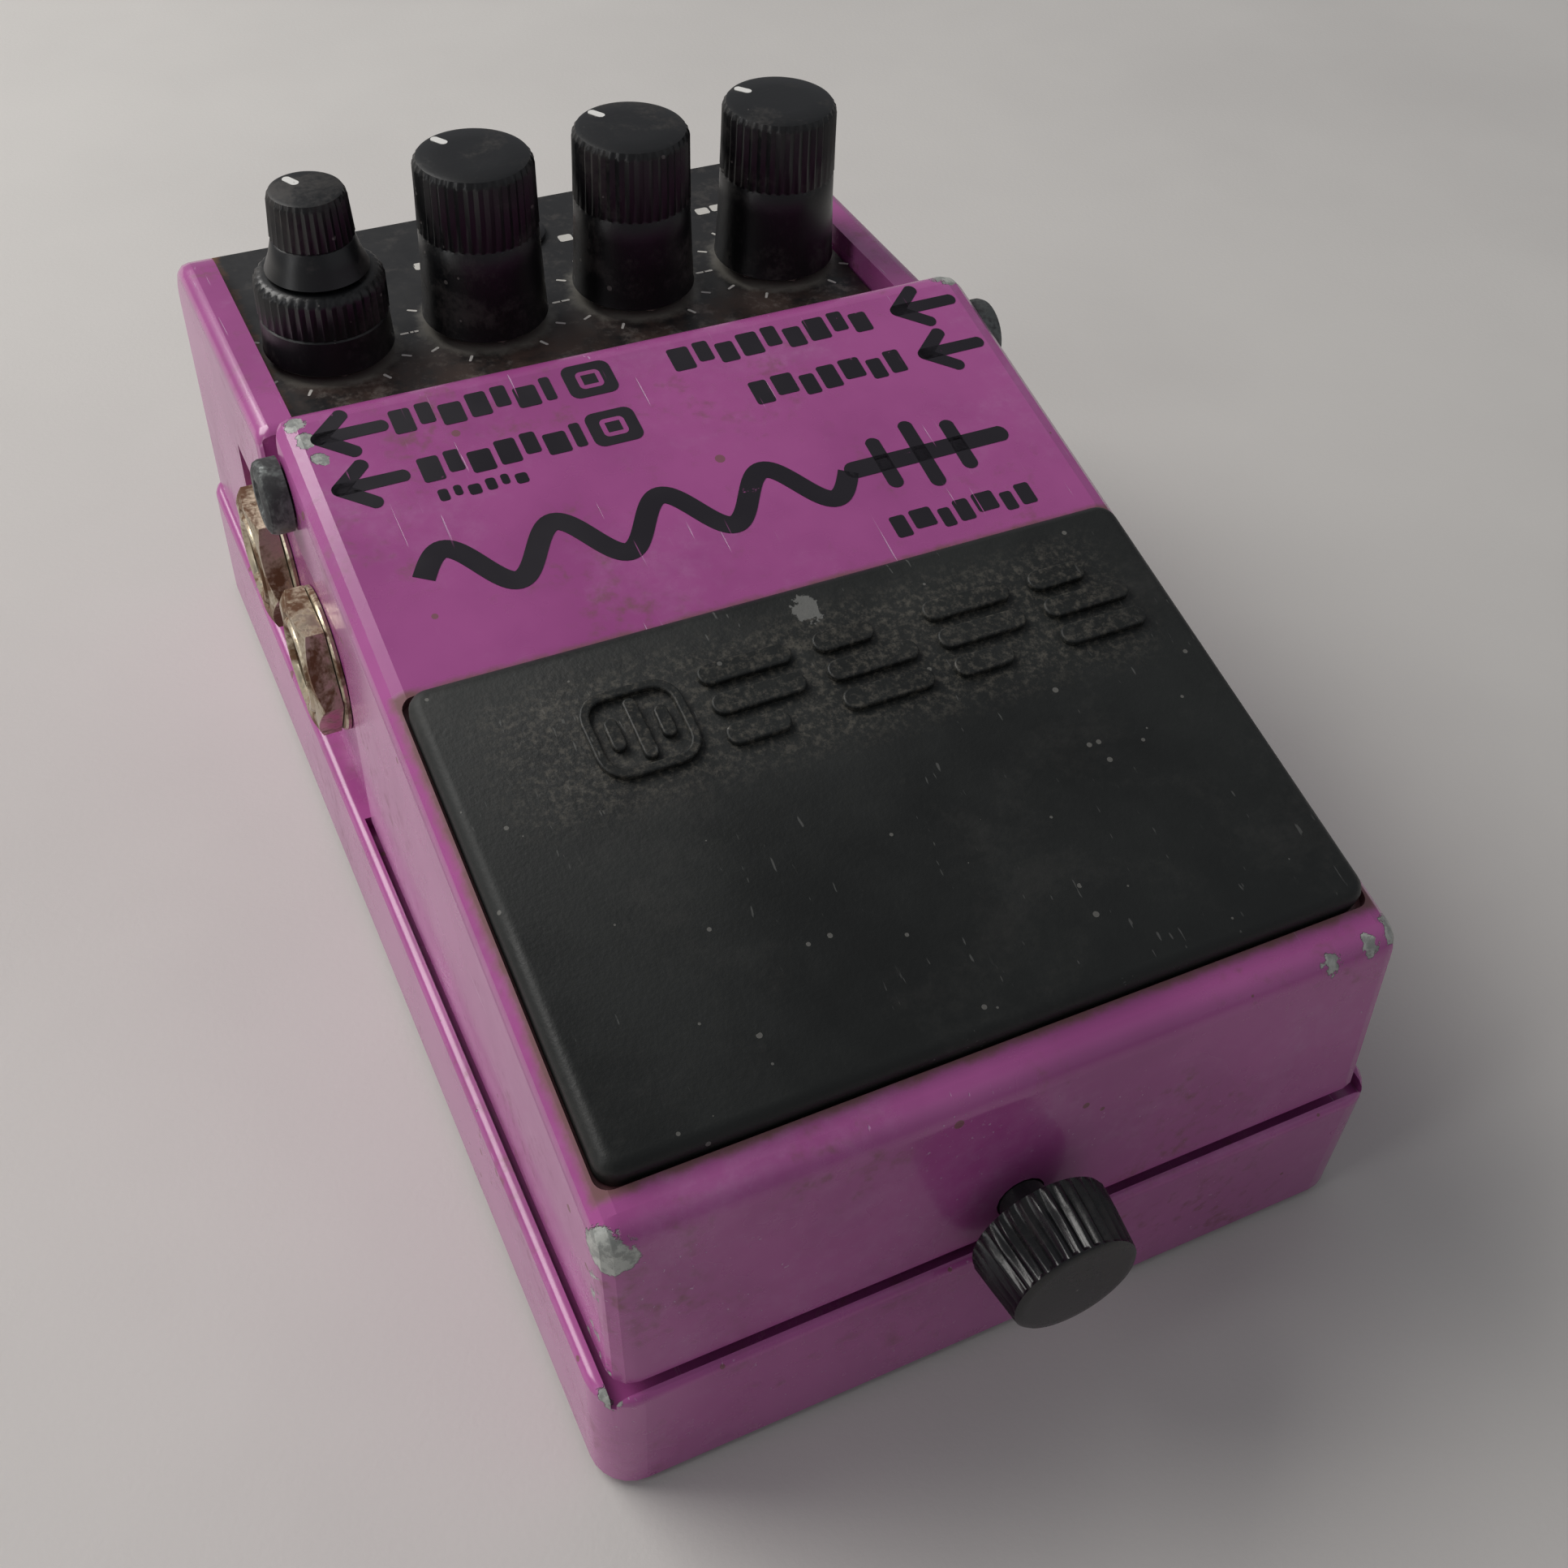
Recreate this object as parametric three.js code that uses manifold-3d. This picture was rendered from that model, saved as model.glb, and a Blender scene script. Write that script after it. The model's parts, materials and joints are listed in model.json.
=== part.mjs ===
// Compact guitar effects pedal, in millimetres, +Z up.
// The origin is at the middle of the footprint, on the surface that it stands on.
// -Y is the front edge with the thumbscrew, +Y the rear with the controls, -X the output side.
import * as THREE from "three";
import { mergeVertices } from "three/addons/utils/BufferGeometryUtils.js";
import Module from "manifold-3d";

const wasm = await Module();
wasm.setup();

// ---- driving dimensions -------------------------------------------------------------------------
const overallWidth = 73;
const overallDepth = 129;
const overallHeight = 59;
const gap = 0.3; // air left between pieces that touch on the real object
const fit = 0.15; // air round a shaft or a sleeve

const caseHalfWidth = 35.5;
const caseFrontY = -57.5;
const caseRearY = overallDepth / 2;
const caseBottomZ = 0.9;
const caseWall = 2;
const ledgeZ = 14.6; // top of the lower tub, where it shows as a ledge round the treadle
const troughZ = 13.2; // under the treadle's foot the ledge is sunk, to leave room for its travel
const troughHalfWidth = 34.4;
const troughFrontY = -56.8;
const upperHalfWidth = 31.4; // the body that stands inside the treadle
const upperFrontY = -50.5;
const jackWallX = 33.4;
const cheekX = 34.6;
const cheekTopZ = 44.4;
const panelHalfWidth = 30.6;
const panelFrontY = 27.4;
const panelZ = 41.5; // top face of the label plate
const panelPlate = 0.8;

const slopeAngle = THREE.MathUtils.degToRad(12);
const slope = Math.tan(slopeAngle);
const treadleHalfWidth = 34;
const treadleFrontY = -54.7;
const treadleFrontZ = 33;
const treadleLength = 80; // along the slope
const treadleRearY = treadleFrontY + treadleLength * Math.cos(slopeAngle);
const treadleBottomZ = 15.3;
const treadleLean = 1.7; // the front wall comes forward this much at its foot
const treadleWall = 2;
const treadlePlate = 2.4;
const treadleEdge = 2; // radius of the long edges
const treadleCornerRadius = 4; // of the rear corners, in plan
const skirtCutY = 5; // behind here the side walls are short, to clear the jacks
const skirtCutZ = 38.2;

const padHalfWidth = 32.4;
const padLength = 42.6;
const padStart = 3.8; // along the slope, from the front edge
const padDepth = 1;
const padProud = 1.7;

const hingeY = 19;
const hingeZ = 43.5;
const pinRadius = 1.2;
const bushRadius = 3.35;
const sweepRadius = 8.2; // room that the rear of the treadle needs as it swings open

const screwZ = 18.8;
const screwRadius = 2;
const screwHeadRadius = 5.9;
const screwHeadLength = 6;
const screwFaceY = -overallDepth / 2;
const screwTipY = -51.2;

const knobPitch = 15.9;
const knobY = 42.5;
const knobBaseZ = 42.4;
const knobXs = [-1.5, -0.5, 0.5, 1.5].map((k) => k * knobPitch);
const shaftRadius = 3;
const innerShaftRadius = 1.75;
const bushingRadius = 3.5; // the threaded collar of a pot
const ledY = 56.6;
const ledHoleRadius = 2.7;
const dcJackZ = 26;

const jackZ = 27;
const jackYs = [15.5, 32];
const jackBarrelRadius = 4.6;
const jackBoreRadius = 3.3;

const battery = { length: 48.5, width: 26.5, height: 17.5 };
const bay = { x0: -28.2, x1: 29.4, y0: -48.5, y1: -19.5, floorZ: 4.2 };
const switchX = 8;
const switchY = -10;
const springX = -12;
const springY = -8;

// ---- helpers ------------------------------------------------------------------------------------
const round = 20; // facets round a small circle
const coarse = 16; // facets round a hole or a rod that hardly shows
const arcSteps = 3; // half the facets of a rounded corner
const bevelSteps = 3;

function solid(geometry) {
  const g = geometry.index ? geometry.toNonIndexed() : geometry.clone();
  g.deleteAttribute("normal");
  g.deleteAttribute("uv");
  const merged = mergeVertices(g, 1e-4);
  return new wasm.Manifold(
    new wasm.Mesh({
      numProp: 3,
      vertProperties: new Float32Array(merged.attributes.position.array),
      triVerts: new Uint32Array(merged.index.array),
    }),
  );
}

function geometryOf(body) {
  const mesh = body.getMesh();
  const g = new THREE.BufferGeometry();
  g.setAttribute("position", new THREE.BufferAttribute(mesh.vertProperties, 3));
  g.setIndex(new THREE.BufferAttribute(mesh.triVerts, 1));
  return g;
}

function block(x0, x1, y0, y1, z0, z1) {
  const g = new THREE.BoxGeometry(x1 - x0, y1 - y0, z1 - z0);
  g.translate((x0 + x1) / 2, (y0 + y1) / 2, (z0 + z1) / 2);
  return solid(g);
}

// A rounded rectangle centred on (cx, cy), as a Shape.
function roundedRect(cx, cy, w, d, r) {
  const s = new THREE.Shape();
  const [x0, x1, y0, y1] = [cx - w / 2, cx + w / 2, cy - d / 2, cy + d / 2];
  s.absarc(x1 - r, y0 + r, r, -Math.PI / 2, 0, false);
  s.absarc(x1 - r, y1 - r, r, 0, Math.PI / 2, false);
  s.absarc(x0 + r, y1 - r, r, Math.PI / 2, Math.PI, false);
  s.absarc(x0 + r, y0 + r, r, Math.PI, 1.5 * Math.PI, false);
  return s;
}

// A plan shape in X and Y, raised from z0 to z1. A bevel rounds both of its rims.
function raise(shape, z0, z1, bevel = 0) {
  const g = new THREE.ExtrudeGeometry(shape, {
    depth: z1 - z0 - 2 * bevel,
    bevelEnabled: bevel > 0,
    bevelSize: bevel,
    bevelThickness: bevel,
    bevelOffset: -bevel,
    bevelSegments: bevelSteps,
    curveSegments: arcSteps,
  });
  g.translate(0, 0, z0 + bevel);
  return solid(g);
}

// A side outline in Y and Z, carried across from x0 to x1. A bevel rounds its two ends.
function across(shape, x0, x1, bevel = 0) {
  const g = new THREE.ExtrudeGeometry(shape, {
    depth: x1 - x0 - 2 * bevel,
    bevelEnabled: bevel > 0,
    bevelSize: bevel,
    bevelThickness: bevel,
    bevelOffset: -bevel,
    bevelSegments: bevelSteps,
    curveSegments: arcSteps,
  });
  g.translate(0, 0, x0 + bevel);
  g.rotateX(Math.PI / 2);
  g.rotateZ(Math.PI / 2);
  return solid(g);
}

// An outline through points [y, z, radius], with its corners rounded by arcs.
function outline(points) {
  const s = new THREE.Shape();
  points.forEach(([y, z, r = 0], i) => {
    const here = new THREE.Vector2(y, z);
    const before = points[(i + points.length - 1) % points.length];
    const after = points[(i + 1) % points.length];
    const toBefore = new THREE.Vector2(before[0] - y, before[1] - z).normalize();
    const toAfter = new THREE.Vector2(after[0] - y, after[1] - z).normalize();
    if (r === 0) {
      if (i === 0) s.moveTo(y, z);
      else s.lineTo(y, z);
      return;
    }
    const half = Math.acos(toBefore.dot(toAfter)) / 2;
    const middle = toBefore.clone().add(toAfter).normalize();
    const centre = here.clone().addScaledVector(middle, r / Math.sin(half));
    const from = here.clone().addScaledVector(toBefore, r / Math.tan(half)).sub(centre);
    const to = here.clone().addScaledVector(toAfter, r / Math.tan(half)).sub(centre);
    s.absarc(centre.x, centre.y, r, from.angle(), to.angle(), toBefore.cross(toAfter) > 0);
  });
  s.closePath();
  return s;
}

// A turned piece: a closed profile of [radius, height] pairs spun about Z.
function turned(profile, segments = round) {
  const points = profile.map(([r, z]) => new THREE.Vector2(r, z));
  const g = new THREE.LatheGeometry(points, segments);
  g.rotateX(Math.PI / 2);
  return solid(g);
}

function rod(radius, z0, z1, segments = round) {
  return turned([[0, z0], [radius, z0], [radius, z1], [0, z1]], segments);
}

function tube(inner, outer, z0, z1, segments = round) {
  return rod(outer, z0, z1, segments).subtract(rod(inner, z0 - 1, z1 + 1, segments));
}

function hexagon(acrossFlats, z0, z1) {
  return rod(acrossFlats / Math.sqrt(3), z0, z1, 6);
}

// Turns a piece made about Z so that +Z points along the given axis, then moves it.
function along(body, axis, x, y, z) {
  const turns = { "+X": [0, 90, 0], "-X": [0, -90, 0], "+Y": [-90, 0, 0], "+Z": [0, 0, 0] };
  return body.rotate(turns[axis]).translate([x, y, z]);
}

const join = (first, ...rest) => rest.reduce((all, piece) => all.add(piece), first);
const cut = (first, ...rest) => rest.reduce((all, piece) => all.subtract(piece), first);
const topZ = (y) => treadleFrontZ + (y - treadleFrontY) * slope;

// ---- materials ----------------------------------------------------------------------------------
const finish = (color, roughness, metalness) => ({ color, roughness, metalness });
const purplePaint = finish(0x8f3f8c, 0.3, 0.1);
const blackRubber = finish(0x1f2422, 0.7, 0);
const blackPlastic = finish(0x121314, 0.45, 0);
const nickel = finish(0xb8ad98, 0.35, 0.9);
const zincSteel = finish(0x9a9ca0, 0.4, 0.85);
const darkSteel = finish(0x4a4c50, 0.5, 0.8);
const labelBlack = finish(0x1b1a1b, 0.5, 0);
const greenBoard = finish(0x2f5a3a, 0.6, 0);
const redLens = finish(0x7a1512, 0.25, 0);
const batteryWrap = finish(0x2c2e33, 0.4, 0.2);

const pedal = new THREE.Group();

function add(name, body, look) {
  const mesh = new THREE.Mesh(geometryOf(body), new THREE.MeshStandardMaterial(look));
  mesh.name = name;
  pedal.add(mesh);
}

// ---- chassis ------------------------------------------------------------------------------------
function makeChassis() {
  const depth = caseRearY - caseFrontY;
  const midY = (caseRearY + caseFrontY) / 2;
  const tub = cut(
    raise(roundedRect(0, midY, 2 * caseHalfWidth, depth, 3.5), caseBottomZ - 3, ledgeZ, 0.8),
    block(-40, 40, -70, 70, -5, caseBottomZ),
    block(-troughHalfWidth, troughHalfWidth, troughFrontY, skirtCutY + 1.2, troughZ, 20),
  );

  // the body inside the treadle: its deck runs below the treadle, parallel to it
  const deckDrop = 8;
  const deckZ = (y) => topZ(y) - deckDrop;
  const upper = across(
    outline([
      [upperFrontY, 10],
      [panelFrontY, 10],
      [panelFrontY, deckZ(panelFrontY)],
      [upperFrontY, deckZ(upperFrontY), 1.5],
    ]),
    -upperHalfWidth,
    upperHalfWidth,
  );
  const jackBlocks = block(-jackWallX, jackWallX, skirtCutY + 1.2, panelFrontY, 10, skirtCutZ - 0.6);

  // the rear housing with its two cheeks
  const rear = across(
    outline([
      [panelFrontY - 1, 10],
      [caseRearY - 0.4, 10],
      [caseRearY - 0.4, cheekTopZ - 1, 6],
      [panelFrontY - 1, cheekTopZ, 2],
    ]),
    -cheekX,
    cheekX,
    1.4,
  );
  const panelRecess = block(
    -panelHalfWidth - gap, panelHalfWidth + gap, panelFrontY - 3, 70, panelZ - panelPlate - fit, 60,
  );
  const sweep = along(rod(sweepRadius, -cheekX + 0.5, cheekX - 0.5, 32), "+X", 0, hingeY, hingeZ);

  // two ears carry the hinge pin
  const ear = outline([
    [hingeY - 5, hingeZ - 9.5],
    [hingeY + 0.3, hingeZ - 9.5],
    [hingeY + 0.3, hingeZ - 1],
    [hingeY, hingeZ],
    [hingeY - 1.8, hingeZ - 1],
  ]);
  const eyelet = rod(2.4, 0, 5, coarse);
  const ears = [-29, 24].map((x) =>
    join(across(ear, x, x + 5), along(eyelet, "+X", x, hingeY, hingeZ)),
  );

  // hollows
  const rim = raise(roundedRect(0, midY, 2 * caseHalfWidth - 3, depth - 3, 2.2), -2, 2.7);
  const innerX = upperHalfWidth - caseWall;
  const chamber = across(
    outline([
      [-17.5, -1],
      [caseRearY - 2.6, -1],
      [caseRearY - 2.6, panelZ - panelPlate - fit - caseWall],
      [panelFrontY + 1.4, panelZ - panelPlate - fit - caseWall],
      [hingeY + 2, hingeZ - sweepRadius - caseWall],
      [hingeY - 6, hingeZ - sweepRadius - caseWall],
      [-3, deckZ(-3) - caseWall],
      [-17.5, deckZ(-17.5) - caseWall],
    ]),
    -innerX,
    innerX,
  );
  const batteryBay = block(bay.x0, bay.x1, bay.y0, bay.y1, bay.floorZ, 60);
  const sideTunnels = [-1, 1].map((s) =>
    block(Math.min(s * 30.6, s * 33.6), Math.max(s * 30.6, s * 33.6), -54.5, 62, -1, troughZ - caseWall),
  );

  const bores = [];
  for (const side of ["-X", "+X"]) {
    for (const y of jackYs) {
      bores.push(along(rod(jackBarrelRadius + fit, 20, 40), side, 0, y, jackZ));
    }
  }
  for (const x of knobXs) bores.push(along(rod(bushingRadius + fit, 30, 50, coarse), "+Z", x, knobY, 0));
  bores.push(along(rod(ledHoleRadius, 30, 50, coarse), "+Z", 0, ledY, 0));
  bores.push(along(rod(4.9, 55, 70), "+Y", 0, 0, dcJackZ));
  bores.push(along(rod(5.3, -60, -45), "+Y", 0, 0, screwZ));
  bores.push(along(rod(pinRadius + fit, -40, 40, 16), "+X", 0, hingeY, hingeZ));
  bores.push(along(rod(4.3, 20, 50, coarse), "+Z", switchX, switchY, 0));

  // the spring stands in a cup that hangs under the deck
  const cup = along(rod(8.6, 24, 33.5), "+Z", springX, springY, 0);
  const well = along(rod(7, 26, 50), "+Z", springX, springY, 0);

  const flatTopZ = 34.5;
  const flats = [-1, 1].map((s) =>
    block(Math.min(s * jackWallX, s * 40), Math.max(s * jackWallX, s * 40), 10, 40.5, ledgeZ, flatTopZ),
  );

  const body = join(tub, upper, jackBlocks, rear);
  const hollow = cut(body, ...flats, rim, chamber, batteryBay, ...sideTunnels, panelRecess, sweep);
  return cut(join(hollow, cup, ...ears), well, ...bores);
}

// ---- base ---------------------------------------------------------------------------------------
const plateWidth = 2 * caseHalfWidth - 3.6;
const plateDepth = caseRearY - caseFrontY - 3.6;
const plateMidY = (caseRearY + caseFrontY) / 2;
const plateScrews = [[-29, -51.6], [29, -51.6], [-29, 58.6], [29, 58.6]];

function makeBottomPlate() {
  const plate = raise(roundedRect(0, plateMidY, plateWidth, plateDepth, 2), 1.2, 2.4);
  return cut(plate, ...plateScrews.map(([x, y]) => along(rod(1.7, 0, 4, coarse), "+Z", x, y, 0)));
}

function makeBaseSheet() {
  const sheet = raise(roundedRect(0, plateMidY, plateWidth - 1, plateDepth - 1, 2), 0, 1.05);
  return cut(sheet, ...plateScrews.map(([x, y]) => along(rod(3.4, -1, 2, coarse), "+Z", x, y, 0)));
}

function makePlateScrew([x, y]) {
  const head = turned([[0, 0.35], [2.4, 0.35], [2.8, 0.6], [2.8, 1.05], [0, 1.05]], coarse);
  return along(join(head, rod(1.4, 1, 2.6, 12)), "+Z", x, y, 0);
}

// ---- treadle ------------------------------------------------------------------------------------
// The outside of the treadle, or the same outline moved in by the wall for its hollow.
function treadleForm(inset, plate, edge) {
  const y0 = treadleFrontY + inset;
  const y1 = treadleRearY - inset;
  const low = treadleBottomZ - 6;
  const lean = (treadleLean * (topZ(y0) - low)) / (treadleFrontZ - treadleBottomZ);
  return across(
    outline([
      [y0 - lean, low],
      [y1, low],
      [y1, topZ(y1) - plate, edge + 0.5],
      [y0, topZ(y0) - plate, edge + 0.5],
    ]),
    -treadleHalfWidth + inset,
    treadleHalfWidth - inset,
    edge,
  );
}

// A plan rectangle sunk into the sloping top, from depth `below` to height `above` of its face.
function onSlope(halfWidth, start, length, below, above, bevel, corner) {
  const g = raise(roundedRect(0, start + length / 2, 2 * halfWidth, length, corner), -below, above, bevel);
  return g.rotate([(slopeAngle * 180) / Math.PI, 0, 0]).translate([0, treadleFrontY, treadleFrontZ]);
}

function makeTreadle() {
  const shell = cut(treadleForm(0, 0, treadleEdge), treadleForm(treadleWall, treadlePlate, 1));
  const outside = [
    block(-40, 40, -80, 80, -5, treadleBottomZ),
    block(-40, 40, skirtCutY, 80, -5, skirtCutZ),
    block(-31.8, 31.8, skirtCutY, 80, -5, hingeZ - 0.7),
  ];
  // the rear corners are rounded in plan
  const corners = [-1, 1].map((s) => {
    const r = treadleCornerRadius;
    const x = s * (treadleHalfWidth - r);
    const y = treadleRearY - r;
    const square = block(Math.min(x, s * 40), Math.max(x, s * 40), y, 80, 30, 60);
    return square.subtract(along(rod(r, 20, 70, 24), "+Z", x, y, 0));
  });
  const cornerBlocks = [-1, 1].map((s) => {
    const x = s * (treadleHalfWidth - treadleCornerRadius - 1);
    const y = treadleRearY - treadleCornerRadius - 1;
    const outer = s * (treadleHalfWidth - 0.8);
    const quarter = block(
      Math.min(x, outer), Math.max(x, outer), y, treadleRearY - 0.8, hingeZ - 0.6, topZ(y) - 1.6,
    );
    return cut(quarter, along(rod(3.1, 20, 70, 24), "+Z", x, y, 0));
  });
  const recess = onSlope(padHalfWidth + gap, padStart - gap, padLength + 2 * gap, padDepth + 0.1, 8, 0, 1.2);
  const screwHole = along(rod(screwRadius + fit, -62, -50, coarse), "+Y", 0, 0, screwZ);
  const bushHoles = along(rod(2.2 + fit, -40, 40, coarse), "+X", 0, hingeY, hingeZ);
  const socketTopZ = topZ(switchY) - treadlePlate + 0.6;
  const tipSocket = along(rod(4.4, 30, socketTopZ, coarse), "+Z", switchX, switchY, 0);
  const tipPost = along(rod(5.6, 38.4, socketTopZ + 0.8, coarse), "+Z", switchX, switchY, 0);
  return cut(
    join(cut(shell, ...outside), ...cornerBlocks, tipPost),
    ...corners, recess, screwHole, bushHoles, tipSocket,
  );
}

function makePad() {
  return onSlope(padHalfWidth, padStart, padLength, padDepth - fit, padProud, 0.8, 1.6);
}

const tipTopZ = topZ(switchY) - treadlePlate + 0.3;
const tipBottomZ = 36.6;
function makeTreadleTip() {
  const tip = turned([
    [0, tipBottomZ], [3.4, tipBottomZ], [4.2, tipBottomZ + 0.8], [4.2, tipTopZ], [0, tipTopZ],
  ], coarse);
  return along(tip, "+Z", switchX, switchY, 0);
}

// ---- hinge --------------------------------------------------------------------------------------
function makeHingePin() {
  return along(rod(pinRadius, -35.2, 35.2, 16), "+X", 0, hingeY, hingeZ);
}

function makeHingeBush(side) {
  const bush = turned([
    [0, 35.4], [pinRadius + fit, 35.4], [pinRadius + fit, 32], [2.2, 32], [2.2, treadleHalfWidth + fit],
    [bushRadius, treadleHalfWidth + fit], [bushRadius, 35.8], [bushRadius - 0.6, 36.4], [0, 36.4],
  ]);
  return along(bush, side, 0, hingeY, hingeZ);
}

// ---- treadle spring and footswitch --------------------------------------------------------------
const springZ0 = 26.4;
const springRadius = 6;
const springZ1 = topZ(springY - springRadius) - treadlePlate - 1.1;

class Helix extends THREE.Curve {
  getPoint(t) {
    const turns = 5;
    const wire = 0.65;
    const a = 2 * Math.PI * turns * t;
    const z = springZ0 + wire + (springZ1 - springZ0 - 2 * wire) * t;
    return new THREE.Vector3(springX + 5.4 * Math.cos(a), springY + 5.4 * Math.sin(a), z);
  }
}

function makeSpring() {
  const wire = new THREE.Shape();
  wire.absarc(0, 0, 0.6, 0, 2 * Math.PI, false);
  const g = new THREE.ExtrudeGeometry(wire, {
    steps: 56, bevelEnabled: false, extrudePath: new Helix(), curveSegments: 3,
  });
  return solid(g);
}

// the treadle's press takes up this gap
const pressGap = 0.75;
const plungerTopZ = tipBottomZ - pressGap;
function makeSwitchBody() {
  const body = block(switchX - 6.5, switchX + 6.5, switchY - 6, switchY + 6, 18, 28.6);
  const collar = along(rod(4, 28, 32.4, coarse), "+Z", switchX, switchY, 0);
  const bore = along(rod(2.6 + fit, 21, 40, coarse), "+Z", switchX, switchY, 0);
  return cut(join(body, collar), bore);
}

function makeSwitchPlunger() {
  const stem = turned([
    [0, 23.4], [2.6, 23.4], [2.6, plungerTopZ - 0.5], [2.1, plungerTopZ], [0, plungerTopZ],
  ], coarse);
  return along(stem, "+Z", switchX, switchY, 0);
}

// ---- thumbscrew ---------------------------------------------------------------------------------
function makeThumbscrew() {
  const r = screwHeadRadius;
  const back = screwHeadLength;
  const length = screwTipY - screwFaceY;
  const head = turned([
    [0, 0], [r - 1.1, 0], [r - 0.5, 0.5], [r, back - 0.4], [r - 0.4, back],
    [screwRadius, back], [screwRadius, length - 0.4], [screwRadius - 0.4, length], [0, length],
  ], 24);
  return along(head, "+Y", 0, screwFaceY, screwZ);
}

const ringY = -52;
function makeScrewRing() {
  return along(tube(screwRadius + fit, 3.2, 0, 0.7, coarse), "+Y", 0, ringY, screwZ);
}

function makeGuideBush() {
  const outer = join(rod(5.15, 0, 2.6), rod(6.4, 2.3, 3.6));
  const well = rod(3.9, -1, 2);
  return along(cut(outer, well, rod(2.6, -1, 9, coarse)), "+Y", 0, upperFrontY + 0.2, screwZ);
}

// ---- controls -----------------------------------------------------------------------------------
// Every knob has a hollow foot that drops over the nut, and a blind bore for its shaft.
function makeKnob(x, top, rTop, rWaist, rFoot) {
  const waist = knobBaseZ + 0.6 * (top - knobBaseZ);
  const knob = turned([
    [0, waist + 3], [shaftRadius + fit, waist + 3], [shaftRadius + fit, knobBaseZ + 2.2],
    [5.5, knobBaseZ + 2.2], [5.5, knobBaseZ], [rFoot, knobBaseZ], [rWaist, waist],
    [rTop + 0.1, waist + 0.2], [rTop, top - 0.6], [rTop - 0.6, top], [0, top],
  ], 24);
  return along(knob, "+Z", x, knobY, 0);
}

const dualSplitZ = 50.3;
function makeDualOuter(x) {
  const ring = turned([
    [3.6, dualSplitZ], [3.6, knobBaseZ + 2.2], [5.5, knobBaseZ + 2.2], [5.5, knobBaseZ], [6.3, knobBaseZ],
    [6.05, 46], [6.25, 46.2], [6.15, dualSplitZ - 0.6], [5.65, dualSplitZ], [3.6, dualSplitZ],
  ], 24);
  return along(ring, "+Z", x, knobY, 0);
}

function makeDualInner(x) {
  const z = dualSplitZ + gap;
  const knob = turned([
    [0, 55], [innerShaftRadius + fit, 55], [innerShaftRadius + fit, z], [4.9, z], [3.9, 53.6],
    [4, 53.8], [3.8, 58], [3.4, 58.5], [0, 58.5],
  ]);
  return along(knob, "+Z", x, knobY, 0);
}

const potTopZ = panelZ - panelPlate - fit - caseWall - gap;
function makePot(x, bore) {
  const body = block(x - 5.2, x + 5.2, knobY - 4.6, knobY + 5.4, potTopZ - 6.6, potTopZ);
  const bushing = along(rod(bushingRadius, potTopZ - 1, 44.2, coarse), "+Z", x, knobY, 0);
  return cut(join(body, bushing), along(rod(bore + fit, potTopZ - 4, 60, coarse), "+Z", x, knobY, 0));
}

function makePotNut(x) {
  const nut = cut(hexagon(9.2, panelZ + fit, panelZ + 2), rod(bushingRadius + fit, 30, 60, coarse));
  return along(nut, "+Z", x, knobY, 0);
}

function makeControlPanel() {
  const plate = block(
    -panelHalfWidth, panelHalfWidth, panelFrontY, caseRearY - 1.2, panelZ - panelPlate, panelZ,
  );
  const holes = knobXs.map((x) => along(rod(bushingRadius + fit, 30, 60, coarse), "+Z", x, knobY, 0));
  return cut(plate, ...holes, along(rod(ledHoleRadius, 30, 60, coarse), "+Z", 0, ledY, 0));
}

function makeLedLens() {
  const lens = turned([
    [0, 37], [2, 37], [2, panelZ + 1], [1.6, panelZ + 1.9], [0.8, panelZ + 2.4], [0, panelZ + 2.5],
  ], coarse);
  return along(lens, "+Z", 0, ledY, 0);
}

function makeLedBezel() {
  const flange = tube(2 + fit, 3.3, panelZ + fit, panelZ + 0.9, coarse);
  const sleeve = tube(2 + fit, 2.5, 38, panelZ + 0.5, coarse);
  return along(join(flange, sleeve), "+Z", 0, ledY, 0);
}

// ---- sockets ------------------------------------------------------------------------------------
const wallGap = 0.1;
function makeJack(side, y) {
  const barrel = rod(jackBarrelRadius, 28, overallWidth / 2);
  const bore = rod(jackBoreRadius, 13, 60);
  const body = block(-4.8, 4.8, -5.4, 5.4, 9, upperHalfWidth - caseWall - gap);
  return along(cut(join(body, barrel), bore), side, 0, y, jackZ);
}

function makeJackWasher(side, y) {
  return along(tube(jackBarrelRadius + fit, 6.9, jackWallX + wallGap, jackWallX + 0.6), side, 0, y, jackZ);
}

function makeJackNut(side, y) {
  const nut = cut(hexagon(12.4, jackWallX + 0.7, 36.1), rod(jackBarrelRadius + fit, 20, 60));
  const chamfer = turned([[0, 30], [8, 30], [8, 35.7], [6.3, 36.6], [0, 36.6]]);
  return along(nut.intersect(chamfer), side, 0, y, jackZ);
}

function makeDcJack() {
  const nose = rod(4.75, 61, caseRearY - 0.6);
  const body = block(-5.5, 5.5, -4.6, 7, 51, 61.6);
  const socket = rod(3.2, 53, 70);
  const pin = rod(1, 52, 62, 12);
  return along(join(cut(join(body, nose), socket), pin), "+Y", 0, 0, dcJackZ);
}

// ---- inside -------------------------------------------------------------------------------------
function makeMainBoard() {
  const board = block(-28.6, 28.6, -15, 60.6, 8, 9.6);
  const parts = [];
  for (const [x, y, w, d, h] of [
    [-18, 6, 11, 7, 2.4], [2, 12, 14, 8, 2.4], [19, 4, 9, 9, 2], [-6, 34, 12, 7, 2.4], [14, 40, 7, 7, 6],
    [-20, 44, 7, 7, 6], [20, 24, 5, 9, 3], [-21, 24, 8, 5, 3],
  ]) {
    parts.push(block(x - w / 2, x + w / 2, y - d / 2, y + d / 2, 9.5, 9.6 + h));
  }
  return join(board, ...parts);
}

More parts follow.
